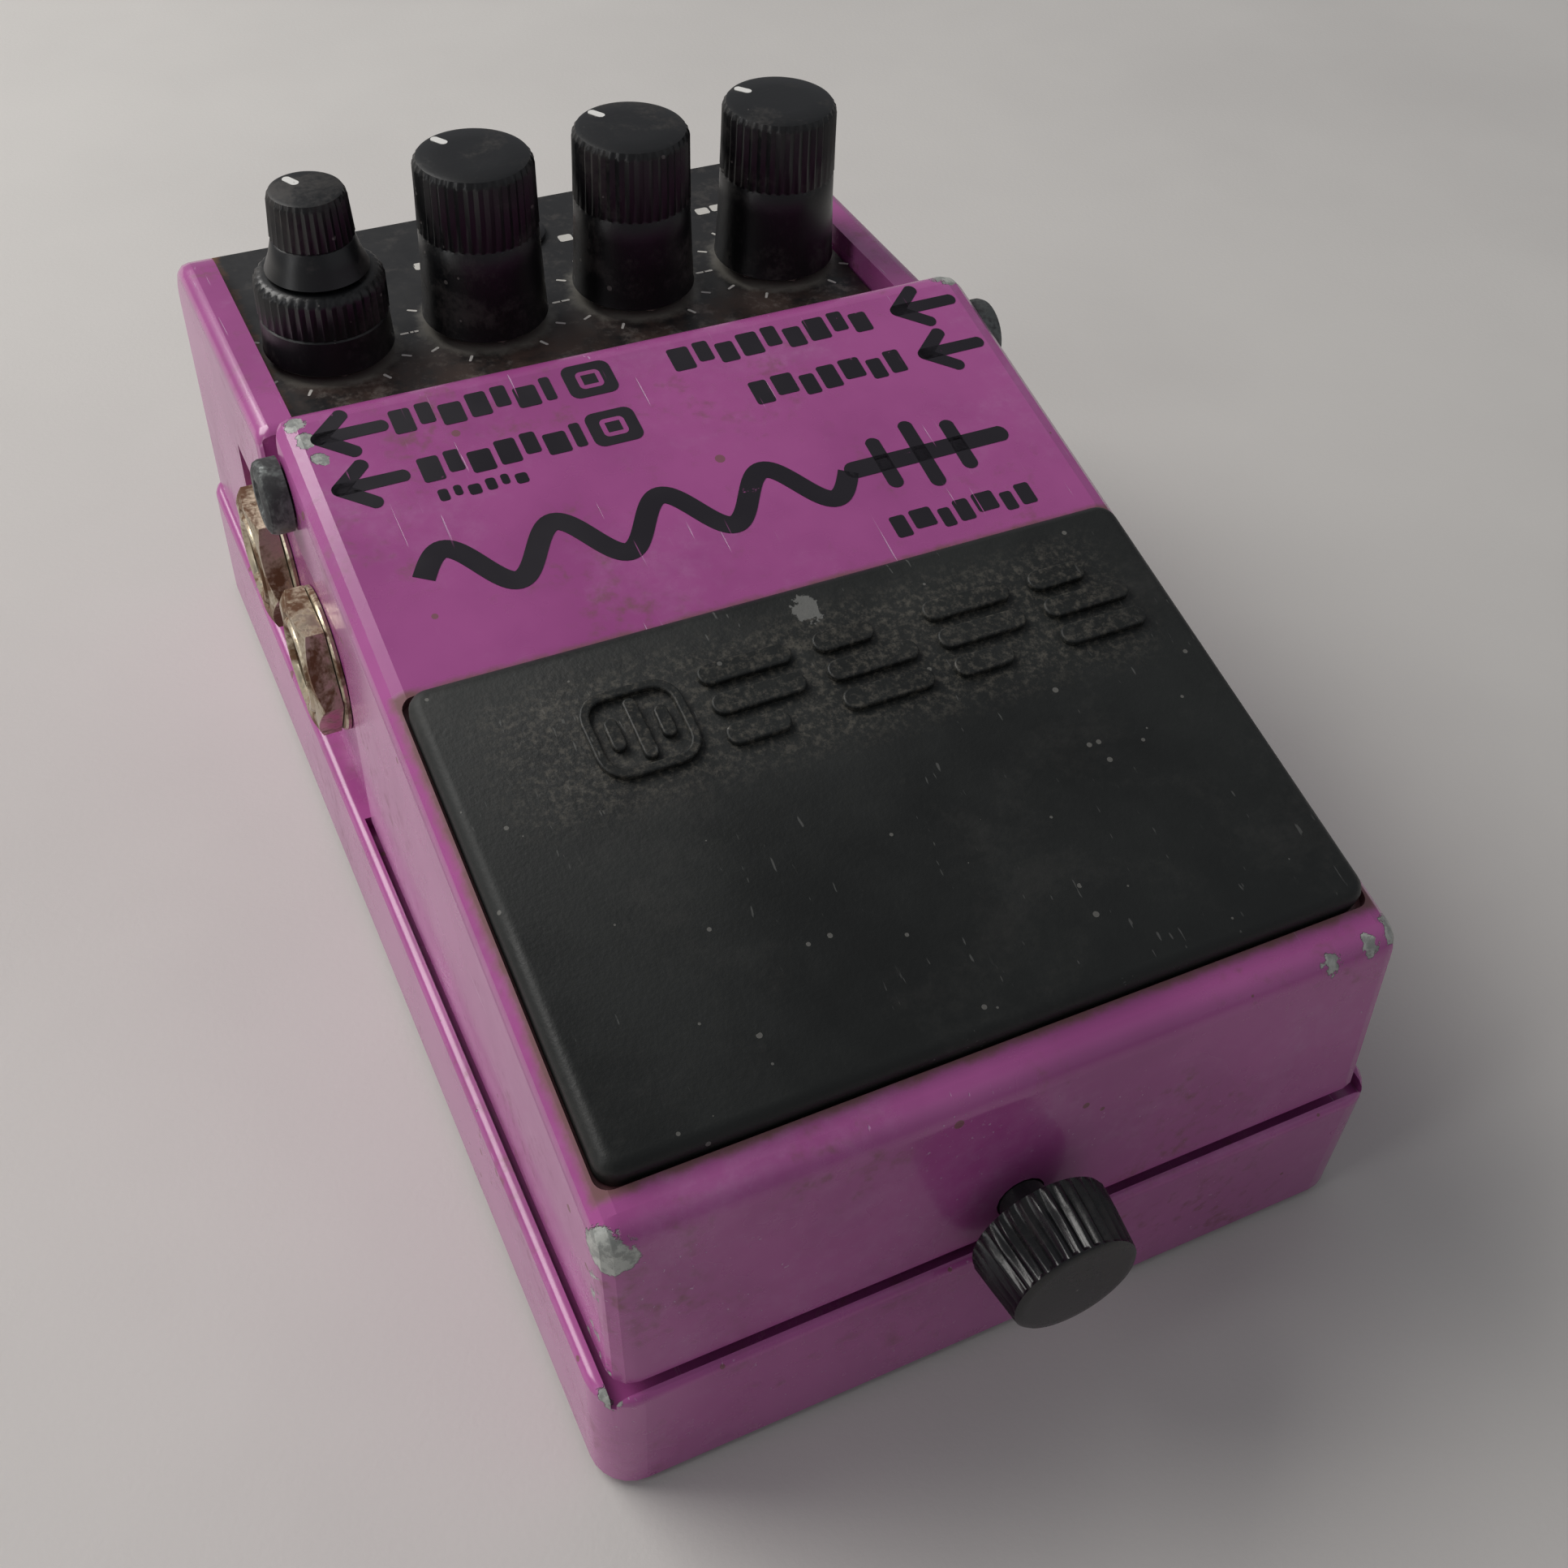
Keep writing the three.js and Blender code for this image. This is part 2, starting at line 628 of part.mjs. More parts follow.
function makePotBoard() {
  const z = potTopZ - 6.6 - gap;
  return block(-28.6, 28.6, knobY - 4.6, knobY + 8, z - 1.6, z);
}

const batteryX0 = -27.2;
const batteryY0 = bay.y1 - gap - battery.width;
const batteryZ0 = bay.floorZ + fit;
function makeBattery() {
  const x1 = batteryX0 + battery.length;
  const y1 = batteryY0 + battery.width;
  const can = raise(roundedRect(0, 0, battery.height, battery.width, 2), 0, battery.length);
  const placed = along(can, "+X", batteryX0, (batteryY0 + y1) / 2, batteryZ0 + battery.height / 2);
  const midZ = batteryZ0 + battery.height / 2;
  const stud = (y, r) => along(rod(r, x1 - 0.5, x1 + 2.2, coarse), "+X", 0, y, midZ);
  return join(placed, stud(batteryY0 + 6.9, 2.9), stud(y1 - 6.9, 3.7));
}

function makeBatterySnap() {
  const x0 = batteryX0 + battery.length + 2.5;
  const midZ = batteryZ0 + battery.height / 2;
  return block(x0, x0 + 3, batteryY0 + 1, batteryY0 + battery.width - 1, midZ - 5.5, midZ + 5.5);
}

// ---- assembly -----------------------------------------------------------------------------------
add("chassis", makeChassis(), purplePaint);
add("bottom_plate", makeBottomPlate(), zincSteel);
add("rubber_base_sheet", makeBaseSheet(), blackRubber);
plateScrews.forEach((at, i) => add("base_screw_" + (i + 1), makePlateScrew(at), zincSteel));

add("treadle", makeTreadle(), purplePaint);
add("treadle_pad", makePad(), blackRubber);
add("treadle_tip", makeTreadleTip(), blackRubber);
add("hinge_pin", makeHingePin(), zincSteel);
add("hinge_bush_left", makeHingeBush("-X"), darkSteel);
add("hinge_bush_right", makeHingeBush("+X"), darkSteel);
add("treadle_spring", makeSpring(), zincSteel);
add("footswitch_body", makeSwitchBody(), blackPlastic);
add("footswitch_plunger", makeSwitchPlunger(), blackPlastic);

add("thumbscrew", makeThumbscrew(), blackPlastic);
add("thumbscrew_ring", makeScrewRing(), zincSteel);
add("guide_bush", makeGuideBush(), blackPlastic);

add("control_panel", makeControlPanel(), labelBlack);
add("led_lens", makeLedLens(), redLens);
add("led_bezel", makeLedBezel(), blackPlastic);
add("knob_dual_outer", makeDualOuter(knobXs[0]), blackPlastic);
add("knob_dual_inner", makeDualInner(knobXs[0]), blackPlastic);
["knob_second", "knob_third", "knob_fourth"].forEach((name, i) => {
  add(name, makeKnob(knobXs[i + 1], overallHeight, 5.75, 5.95, 6.3), blackPlastic);
});
const shaftTop = knobBaseZ + 0.6 * (overallHeight - knobBaseZ) + 3 - gap;
const shaftFoot = potTopZ - 3.7;
const dualSleeve = tube(innerShaftRadius + fit, 3, shaftFoot, 49.8, coarse);
const dualCore = rod(innerShaftRadius, shaftFoot, 54.7, coarse);
add("shaft_dual_outer", along(dualSleeve, "+Z", knobXs[0], knobY, 0), nickel);
add("shaft_dual_inner", along(dualCore, "+Z", knobXs[0], knobY, 0), nickel);
["shaft_second", "shaft_third", "shaft_fourth"].forEach((name, i) => {
  add(name, along(rod(shaftRadius, shaftFoot, shaftTop, coarse), "+Z", knobXs[i + 1], knobY, 0), nickel);
});
["dual", "second", "third", "fourth"].forEach((name, i) => {
  add("pot_" + name, makePot(knobXs[i], shaftRadius), zincSteel);
  add("pot_nut_" + name, makePotNut(knobXs[i]), nickel);
});

for (const [name, side, y] of [
  ["output_front", "-X", jackYs[0]], ["output_rear", "-X", jackYs[1]],
  ["input_front", "+X", jackYs[0]], ["input_rear", "+X", jackYs[1]],
]) {
  add("jack_" + name, makeJack(side, y), nickel);
  add("jack_washer_" + name, makeJackWasher(side, y), nickel);
  add("jack_nut_" + name, makeJackNut(side, y), nickel);
}
add("dc_jack", makeDcJack(), blackPlastic);

add("main_board", makeMainBoard(), greenBoard);
add("pot_board", makePotBoard(), greenBoard);
add("battery", makeBattery(), batteryWrap);
add("battery_snap", makeBatterySnap(), blackPlastic);

export default pedal;
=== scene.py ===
import bpy
import bmesh
import json
import math
from mathutils import Matrix, Vector


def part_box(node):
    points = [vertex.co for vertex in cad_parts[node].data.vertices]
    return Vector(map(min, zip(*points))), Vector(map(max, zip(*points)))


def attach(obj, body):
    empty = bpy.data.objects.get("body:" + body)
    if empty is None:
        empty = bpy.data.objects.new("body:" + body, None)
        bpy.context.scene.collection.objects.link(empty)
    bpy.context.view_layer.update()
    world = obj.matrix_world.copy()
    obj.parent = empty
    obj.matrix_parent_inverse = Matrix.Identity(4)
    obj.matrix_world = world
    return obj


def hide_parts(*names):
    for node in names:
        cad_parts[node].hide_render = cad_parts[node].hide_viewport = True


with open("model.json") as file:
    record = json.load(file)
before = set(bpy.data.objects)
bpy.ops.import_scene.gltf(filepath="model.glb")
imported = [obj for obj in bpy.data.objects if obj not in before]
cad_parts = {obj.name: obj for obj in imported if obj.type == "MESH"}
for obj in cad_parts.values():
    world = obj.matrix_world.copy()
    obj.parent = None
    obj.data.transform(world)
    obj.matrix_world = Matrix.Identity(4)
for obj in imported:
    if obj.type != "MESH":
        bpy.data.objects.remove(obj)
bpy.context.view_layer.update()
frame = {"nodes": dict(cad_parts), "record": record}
scene = bpy.context.scene
mm = 0.001
print("frame loaded:", len(frame["nodes"]), "nodes")


# camera and light

view = {"lens": 41.8, "place": (-0.05347, -0.11351, 0.14205), "turn": (43.857, -2.5, -25.308)}
light = {"sky": 0.3, "key": 3.0, "fill": 0.14, "rim": 0.9, "exposure": -0.42,
         "aim": (0, 0, 0.02)}


def makeCamera():
    data = bpy.data.cameras.new("camera")
    data.lens = view["lens"]
    data.sensor_width = 36
    data.clip_start = 0.005
    camera = bpy.data.objects.new("camera", data)
    camera.location = view["place"]
    camera.rotation_euler = [math.radians(a) for a in view["turn"]]
    scene.collection.objects.link(camera)
    scene.camera = camera


def makeLamp(name, place, size, watts, colour=(1, 1, 1)):
    data = bpy.data.lights.new(name, "AREA")
    data.shape = "RECTANGLE"
    data.size, data.size_y = size
    data.energy = watts
    data.color = colour
    lamp = bpy.data.objects.new(name, data)
    lamp.location = place
    lamp.rotation_euler = (Vector(place) - Vector(light["aim"])).to_track_quat("Z", "Y").to_euler()
    scene.collection.objects.link(lamp)


def makeLights():
    world = bpy.data.worlds.new("room")
    scene.world = world
    world.use_nodes = True
    world.node_tree.nodes["Background"].inputs["Color"].default_value = (0.93, 0.95, 1, 1)
    world.node_tree.nodes["Background"].inputs["Strength"].default_value = light["sky"]
    makeLamp("window", (-0.45, 0.5, 0.62), (0.7, 0.5), light["key"] * 3, (1, 0.98, 0.95))
    makeLamp("fillPanel", (0.5, -0.5, 0.5), (0.8, 0.8), light["fill"] * 3, (0.95, 0.97, 1))
    makeLamp("stripPanel", (-0.6, -0.1, 0.3), (0.12, 0.7), light["rim"])
    scene.view_settings.view_transform = "Standard"
    scene.view_settings.exposure = light["exposure"]


# node helpers

def feed(tree, made, inputs):
    # a socket is linked, a plain value is set
    for key, value in inputs.items():
        if isinstance(value, bpy.types.NodeSocket):
            tree.links.new(value, made.inputs[key])
        else:
            made.inputs[key].default_value = value
    return made


def put(tree, kind, inputs=None, **settings):
    made = tree.nodes.new(kind)
    for key, value in settings.items():
        setattr(made, key, value)
    return feed(tree, made, inputs or {})


def calc(tree, operation, *values, clamp=False):
    made = put(tree, "ShaderNodeMath", dict(enumerate(values)), operation=operation, use_clamp=clamp)
    return made.outputs[0]


def split(tree, vector):
    return put(tree, "ShaderNodeSeparateXYZ", {0: vector}).outputs


def blendColour(tree, amount, under, over):
    made = put(tree, "ShaderNodeMix", {"Factor": amount}, data_type="RGBA")
    for key, value in ((6, under), (7, over)):
        feed(tree, made, {key: value if isinstance(value, bpy.types.NodeSocket) else (*value, 1)})
    return made.outputs[2]


def noise(tree, vector, scale, detail=3.0, rough=0.55, warp=0.0):
    return put(tree, "ShaderNodeTexNoise", {
        "Vector": vector, "Scale": scale, "Detail": detail, "Roughness": rough, "Distortion": warp,
    }).outputs["Fac"]


def between(tree, value, low, high, outLow=0.0, outHigh=1.0):
    return put(tree, "ShaderNodeMapRange", {
        "Value": value, "From Min": low, "From Max": high, "To Min": outLow, "To Max": outHigh,
    }, interpolation_type="SMOOTHSTEP").outputs["Result"]


def moved(tree, vector, place=(0, 0, 0), turn=(0, 0, 0), scale=(1, 1, 1), kind="POINT"):
    return put(tree, "ShaderNodeMapping", {
        "Vector": vector, "Location": place, "Rotation": turn, "Scale": scale,
    }, vector_type=kind).outputs["Vector"]


def newGroup(name, inputs, output, build):
    group = bpy.data.node_groups.new(name, "ShaderNodeTree")
    for label, kind, value in inputs:
        made = group.interface.new_socket(label, in_out="INPUT", socket_type="NodeSocket" + kind)
        made.default_value = value
    group.interface.new_socket(output, in_out="OUTPUT", socket_type="NodeSocketFloat")
    entry = group.nodes.new("NodeGroupInput")
    leave = group.nodes.new("NodeGroupOutput")
    group.links.new(build(group, entry.outputs), leave.inputs[0])
    return group


def use(tree, group, **inputs):
    made = tree.nodes.new("ShaderNodeGroup")
    made.node_tree = group
    return feed(tree, made, inputs).outputs[0]


# effects that several materials share

def buildEdge(tree, ins):
    # distance to the nearest edge of a box: the second smallest of the distances to its faces
    away = put(tree, "ShaderNodeVectorMath", {0: ins["Vector"], 1: ins["Centre"]}, operation="SUBTRACT")
    size = put(tree, "ShaderNodeVectorMath", {0: away.outputs[0]}, operation="ABSOLUTE")
    left = put(tree, "ShaderNodeVectorMath", {0: ins["Half"], 1: size.outputs[0]}, operation="SUBTRACT")
    parts = split(tree, left.outputs[0])
    low = calc(tree, "MINIMUM", parts[0], parts[1])
    high = calc(tree, "MAXIMUM", parts[0], parts[1])
    return calc(tree, "MAXIMUM", low, calc(tree, "MINIMUM", high, parts[2]))


def buildSpot(tree, ins):
    # a ragged patch round a point
    away = put(tree, "ShaderNodeVectorMath", {0: ins["Vector"], 1: ins["Centre"]}, operation="DISTANCE")
    ragged = calc(tree, "MULTIPLY", noise(tree, ins["Vector"], 900, 4, 0.65), ins["Ragged"])
    edge = calc(tree, "ADD", calc(tree, "DIVIDE", away.outputs["Value"], ins["Radius"]), ragged)
    return between(tree, edge, 1.06, 0.98)


def buildScratches(tree, ins):
    # short hairlines in three directions
    total = None
    for angle, gate in ((0.5, 0.02), (1.9, 0.0), (2.7, 0.01)):
        turned = moved(tree, ins["Vector"], turn=(0, 0, angle), scale=(1, 0.035, 1))
        line = noise(tree, turned, 2600, 1.5, 0.5)
        patch = noise(tree, moved(tree, ins["Vector"], place=(angle, 0, 0)), 70, 2)
        mask = calc(tree, "MULTIPLY", between(tree, line, 0.715, 0.76),
                    between(tree, patch, 0.52 + gate, 0.6))
        total = mask if total is None else calc(tree, "MAXIMUM", total, mask)
    return calc(tree, "MULTIPLY", total, ins["Amount"])


def buildGrime(tree, ins):
    # blotches that gather in drifts of different size
    wide = noise(tree, ins["Vector"], ins["Scale"], 5, 0.62, 0.4)
    fine = noise(tree, ins["Vector"], calc(tree, "MULTIPLY", ins["Scale"], 14), 4, 0.7)
    both = calc(tree, "ADD", wide, calc(tree, "MULTIPLY", fine, 0.35))
    return calc(tree, "MULTIPLY", between(tree, both, 0.66, 0.9), ins["Amount"])


def buildSpecks(tree, ins):
    # small scattered grains
    cells = put(tree, "ShaderNodeTexVoronoi", {"Vector": ins["Vector"], "Scale": ins["Scale"]})
    pick = put(tree, "ShaderNodeSeparateColor", {0: cells.outputs["Color"]}).outputs
    size = calc(tree, "MULTIPLY", pick[1], 0.3)
    near = calc(tree, "LESS_THAN", cells.outputs["Distance"], size)
    return calc(tree, "MULTIPLY", near, calc(tree, "LESS_THAN", pick[0], ins["Share"]))


zero = (0.0, 0.0, 0.0)
edgeGroup = newGroup("edge distance", [
    ("Vector", "Vector", zero), ("Centre", "Vector", zero),
    ("Half", "Vector", zero)], "Distance", buildEdge)
spotGroup = newGroup("ragged spot", [
    ("Vector", "Vector", zero), ("Centre", "Vector", zero), ("Radius", "Float", 0.002),
    ("Ragged", "Float", 0.8)], "Mask", buildSpot)
scratchGroup = newGroup("scratches", [
    ("Vector", "Vector", zero), ("Amount", "Float", 1.0)], "Mask", buildScratches)
grimeGroup = newGroup("grime", [
    ("Vector", "Vector", zero), ("Scale", "Float", 60.0), ("Amount", "Float", 1.0)], "Mask", buildGrime)
speckGroup = newGroup("specks", [
    ("Vector", "Vector", zero), ("Scale", "Float", 900.0), ("Share", "Float", 0.1)], "Mask", buildSpecks)


def startMaterial(name):
    material = bpy.data.materials.new(name)
    material.use_nodes = True
    tree = material.node_tree
    shader = tree.nodes["Principled BSDF"]
    coords = put(tree, "ShaderNodeTexCoord").outputs["Object"]
    return material, tree, shader, coords


def bumpFrom(tree, height, distance, strength=1.0):
    return put(tree, "ShaderNodeBump", {
        "Height": height, "Distance": distance, "Strength": strength}).outputs["Normal"]


def connect(tree, shader, **sockets):
    names = {"colour": "Base Color", "roughness": "Roughness", "metallic": "Metallic", "normal": "Normal"}
    for key, value in sockets.items():
        tree.links.new(value, shader.inputs[names[key]])


# where the treadle's sloping top lies

top = {"slope": math.radians(12), "padStart": 3.8 * mm, "padLength": 42.6 * mm, "padProud": 1.7 * mm,
       "halfWidth": 34 * mm, "length": 80 * mm}
padLow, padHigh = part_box("treadle_pad")
level = Matrix.Rotation(-top["slope"], 4, "X") @ frame["nodes"]["treadle_pad"].matrix_world
padPoints = [level @ v.co for v in frame["nodes"]["treadle_pad"].data.vertices]
topOrigin = Matrix.Rotation(top["slope"], 4, "X") @ Vector((
    0, min(p.y for p in padPoints) - top["padStart"], max(p.z for p in padPoints) - top["padProud"]))
topPlace = Matrix.Translation(topOrigin) @ Matrix.Rotation(top["slope"], 4, "X")


def onTop(tree, coords):
    # coordinates that lie along the treadle's sloping top
    return moved(tree, coords, place=topOrigin, turn=(top["slope"], 0, 0), kind="TEXTURE")


# paint

paint = {"colour": (0.41, 0.088, 0.30), "deep": (0.33, 0.062, 0.24), "primer": (0.24, 0.25, 0.235),
         "bare": (0.42, 0.43, 0.40), "dirt": (0.15, 0.07, 0.045), "rub": (0.56, 0.33, 0.52)}


def paintMaterial(name, boxes, spots, padDust=False):
    # boxes are (centre, half size) pairs whose edges wear; spots are (centre, radius, ragged) chips
    material, tree, shader, coords = startMaterial(name)
    local = onTop(tree, coords)
    base = local if padDust else coords
    tone = noise(tree, coords, 45, 4, 0.6)
    colour = blendColour(tree, between(tree, tone, 0.35, 0.7), paint["colour"], paint["deep"])
    rubbed = calc(tree, "MULTIPLY", use(tree, grimeGroup, Vector=base, Scale=38.0, Amount=0.35),
                  noise(tree, coords, 1500, 2))
    colour = blendColour(tree, rubbed, colour, paint["rub"])
    dirt = calc(tree, "MULTIPLY", use(tree, grimeGroup, Vector=coords, Scale=95.0, Amount=0.6),
                between(tree, noise(tree, coords, 700, 3), 0.45, 0.7))
    dirt = calc(tree, "MAXIMUM", dirt, calc(tree, "MULTIPLY", use(
        tree, speckGroup, Vector=coords, Scale=620.0, Share=0.035), 0.75))
    if padDust:
        parts = split(tree, local)
        halfX = (padHigh.x - padLow.x) / 2
        outX = calc(tree, "SUBTRACT", calc(tree, "ABSOLUTE", parts[0]), halfX)
        middle = top["padStart"] + top["padLength"] / 2
        outY = calc(tree, "SUBTRACT", calc(tree, "ABSOLUTE", calc(tree, "SUBTRACT", parts[1], middle)),
                    top["padLength"] / 2)
        away = calc(tree, "MAXIMUM", outX, outY)
        ragged = calc(tree, "MULTIPLY", noise(tree, coords, 420, 4, 0.7), 1.3 * mm)
        line = between(tree, calc(tree, "ADD", away, ragged), 1.9 * mm, 0.95 * mm, 0.0, 0.85)
        dirt = calc(tree, "MAXIMUM", dirt, line)
    colour = blendColour(tree, dirt, colour, paint["dirt"])
    scratch = use(tree, scratchGroup, Vector=base, Amount=0.75)
    colour = blendColour(tree, scratch, colour, paint["rub"])
    # chips: bare patches along the edges and at chosen corners
    chip = None
    ragged = calc(tree, "MULTIPLY", noise(tree, coords, 260, 5, 0.68), 7.5 * mm)
    for centre, half in boxes:
        away = use(tree, edgeGroup, Vector=base, Centre=centre, Half=half)
        mask = between(tree, calc(tree, "ADD", away, ragged), 3.0 * mm, 2.85 * mm)
        chip = mask if chip is None else calc(tree, "MAXIMUM", chip, mask)
    for centre, radius, rough in spots:
        mask = use(tree, spotGroup, Vector=base, Centre=centre, Radius=radius, Ragged=rough)
        chip = calc(tree, "MAXIMUM", chip, mask)
    worn = blendColour(tree, between(tree, noise(tree, coords, 1100, 4, 0.7), 0.42, 0.6),
                       paint["primer"], paint["bare"])
    colour = blendColour(tree, chip, colour, worn)
    rough = calc(tree, "ADD", calc(tree, "MULTIPLY", tone, 0.14), 0.2)
    rough = calc(tree, "ADD", rough, calc(tree, "MULTIPLY", calc(tree, "MAXIMUM", dirt, chip), 0.4),
                 clamp=True)
    peel = calc(tree, "MULTIPLY", noise(tree, coords, 520, 2), 0.035)
    height = calc(tree, "SUBTRACT", peel, calc(tree, "ADD", chip, calc(tree, "MULTIPLY", scratch, 0.25)))
    connect(tree, shader, colour=colour, roughness=rough, normal=bumpFrom(tree, height, 0.14 * mm))
    shader.inputs["Coat Weight"].default_value = 0.35
    shader.inputs["Coat Roughness"].default_value = 0.12
    return material


# other finishes

def rubberMaterial(name, shade=(0.0075, 0.0085, 0.008), marked=False):
    material, tree, shader, coords = startMaterial(name)
    tone = noise(tree, coords, 55, 5, 0.65)
    colour = blendColour(tree, between(tree, tone, 0.3, 0.75), shade, tuple(c * 1.9 for c in shade))
    dust = use(tree, grimeGroup, Vector=coords, Scale=70.0, Amount=0.07)
    colour = blendColour(tree, dust, colour, (0.16, 0.15, 0.135))
    if marked:
        # dust lies round the raised marks, and a scuff by the rear edge
        local = onTop(tree, coords)
        parts = split(tree, local)
        band = calc(tree, "ABSOLUTE", calc(tree, "SUBTRACT", parts[1], 36.8 * mm))
        lie = calc(tree, "MULTIPLY", between(tree, band, 8.5 * mm, 4 * mm),
                   between(tree, calc(tree, "ABSOLUTE", parts[0]), 31 * mm, 24 * mm))
        loose = between(tree, noise(tree, coords, 1500, 4, 0.75), 0.44, 0.7, 0.0, 0.42)
        colour = blendColour(tree, calc(tree, "MULTIPLY", lie, loose), colour, (0.15, 0.135, 0.11))
        scuff = use(tree, spotGroup, Vector=local, Centre=(1 * mm, 43.6 * mm, top["padProud"]),
                    Radius=2.8 * mm, Ragged=1.25)
        colour = blendColour(tree, calc(tree, "MULTIPLY", scuff, 0.6), colour, (0.2, 0.2, 0.19))
    specks = use(tree, speckGroup, Vector=coords, Scale=1100.0, Share=0.04)
    colour = blendColour(tree, calc(tree, "MULTIPLY", specks, 0.4), colour, (0.26, 0.25, 0.23))
    scuff = use(tree, scratchGroup, Vector=coords, Amount=0.3)
    colour = blendColour(tree, scuff, colour, (0.2, 0.2, 0.19))
    rough = between(tree, tone, 0.3, 0.7, 0.42, 0.62)
    grain = calc(tree, "ADD", noise(tree, coords, 2400, 3, 0.6), calc(tree, "MULTIPLY", specks, 0.5))
    shader.inputs["Specular IOR Level"].default_value = 0.35
    connect(tree, shader, colour=colour, roughness=rough, normal=bumpFrom(tree, grain, 0.05 * mm, 0.7))
    return material


def plasticMaterial(name, shade=(0.0035, 0.0037, 0.0043), gloss=0.3, dusty=0.06):
    material, tree, shader, coords = startMaterial(name)
    tone = noise(tree, coords, 120, 4, 0.6)
    colour = blendColour(tree, tone, shade, tuple(c * 1.7 for c in shade))
    dust = use(tree, grimeGroup, Vector=coords, Scale=150.0, Amount=dusty)
    colour = blendColour(tree, dust, colour, (0.22, 0.19, 0.165))
    specks = calc(tree, "MULTIPLY", use(tree, speckGroup, Vector=coords, Scale=1100.0, Share=0.05), 0.3)
    colour = blendColour(tree, specks, colour, (0.3, 0.28, 0.26))
    rough = calc(tree, "ADD", calc(tree, "MULTIPLY", tone, 0.15), gloss)
    rough = calc(tree, "ADD", rough, calc(tree, "MULTIPLY", dust, 2.0), clamp=True)
    grain = noise(tree, coords, 3200, 2)
    connect(tree, shader, colour=colour, roughness=rough, normal=bumpFrom(tree, grain, 0.012 * mm, 0.6))
    return material


def metalMaterial(name, shade, stain, stained=1.0, gloss=0.22):
    # bright metal with brown or grey tarnish in blotches
    material, tree, shader, coords = startMaterial(name)
    tone = noise(tree, coords, 240, 4, 0.6)
    colour = blendColour(tree, tone, shade, tuple(c * 0.72 for c in shade))
    blotch = calc(tree, "ADD", noise(tree, coords, 190, 5, 0.7, 0.5),
                  calc(tree, "MULTIPLY", noise(tree, coords, 1900, 3), 0.22))
    rust = calc(tree, "MULTIPLY", between(tree, blotch, 0.5, 0.7), stained)
    colour = blendColour(tree, rust, colour, stain)
    rough = calc(tree, "ADD", calc(tree, "MULTIPLY", tone, 0.16), gloss)
    rough = calc(tree, "ADD", rough, calc(tree, "MULTIPLY", rust, 0.5), clamp=True)
    metallic = calc(tree, "SUBTRACT", 1.0, calc(tree, "MULTIPLY", rust, 0.8))
    height = calc(tree, "ADD", calc(tree, "MULTIPLY", rust, 0.6), noise(tree, coords, 1500, 3))
    connect(tree, shader, colour=colour, roughness=rough, metallic=metallic,
            normal=bumpFrom(tree, height, 0.03 * mm, 0.7))
    return material


def inkMaterial(name, shade, under, worn=1.0):
    # printed ink: scratches and rubbed spots let the paint below show
    material, tree, shader, coords = startMaterial(name)
    local = onTop(tree, coords)
    scratch = use(tree, scratchGroup, Vector=local, Amount=0.95)
    rubbed = between(tree, noise(tree, coords, 330, 6, 0.75), 0.66, 0.72, 0.0, worn)
    colour = blendColour(tree, calc(tree, "MAXIMUM", scratch, rubbed), shade, under)
    rough = between(tree, noise(tree, coords, 90, 3), 0.3, 0.7, 0.28, 0.45)
    connect(tree, shader, colour=colour, roughness=rough,
            normal=bumpFrom(tree, noise(tree, coords, 800, 2), 0.01 * mm, 0.5))
    return material


def labelMaterial(name):
    # the panel: black, rubbed brown and dusty towards its front and round the controls
    material, tree, shader, coords = startMaterial(name)
    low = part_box("control_panel")[0]
    parts = split(tree, coords)
    front = between(tree, parts[1], low.y + 17 * mm, low.y + 2 * mm)
    patch = noise(tree, coords, 120, 6, 0.7)
    brown = calc(tree, "MULTIPLY", front, between(tree, patch, 0.36, 0.62))
    colour = blendColour(tree, brown, (0.012, 0.012, 0.013), (0.09, 0.055, 0.042))
    dust = calc(tree, "MULTIPLY", between(tree, noise(tree, coords, 420, 5, 0.75), 0.5, 0.68), 0.45)
    dust = calc(tree, "MULTIPLY", dust, calc(tree, "ADD", calc(tree, "MULTIPLY", front, 0.8), 0.2))
    colour = blendColour(tree, dust, colour, (0.3, 0.26, 0.23))
    ragged = calc(tree, "MULTIPLY", noise(tree, coords, 500, 4, 0.7), 2.4 * mm)
    flat = put(tree, "ShaderNodeCombineXYZ", {0: parts[0], 1: parts[1]}).outputs[0]
    ring = None
    for node in ("knob_dual_outer", "knob_second", "knob_third", "knob_fourth"):
        middle = measure(node)[2]
        away = put(tree, "ShaderNodeVectorMath", {0: flat, 1: (middle.x, middle.y, 0)}, operation="DISTANCE")
        ring = away.outputs["Value"] if ring is None else calc(tree, "MINIMUM", ring, away.outputs["Value"])
    residue = between(tree, calc(tree, "ADD", ring, ragged), 8.6 * mm, 7.2 * mm, 0.0, 0.7)
    colour = blendColour(tree, residue, colour, (0.2, 0.19, 0.165))
    rim = between(tree, calc(tree, "ADD", parts[0], ragged), low.x + 2.2 * mm, low.x + 1.0 * mm, 0.0, 0.85)
    colour = blendColour(tree, rim, colour, (0.2, 0.085, 0.03))
    rough = between(tree, patch, 0.3, 0.7, 0.35, 0.6)
    connect(tree, shader, colour=colour, roughness=rough,
            normal=bumpFrom(tree, calc(tree, "ADD", patch, dust), 0.04 * mm, 0.6))
    return material


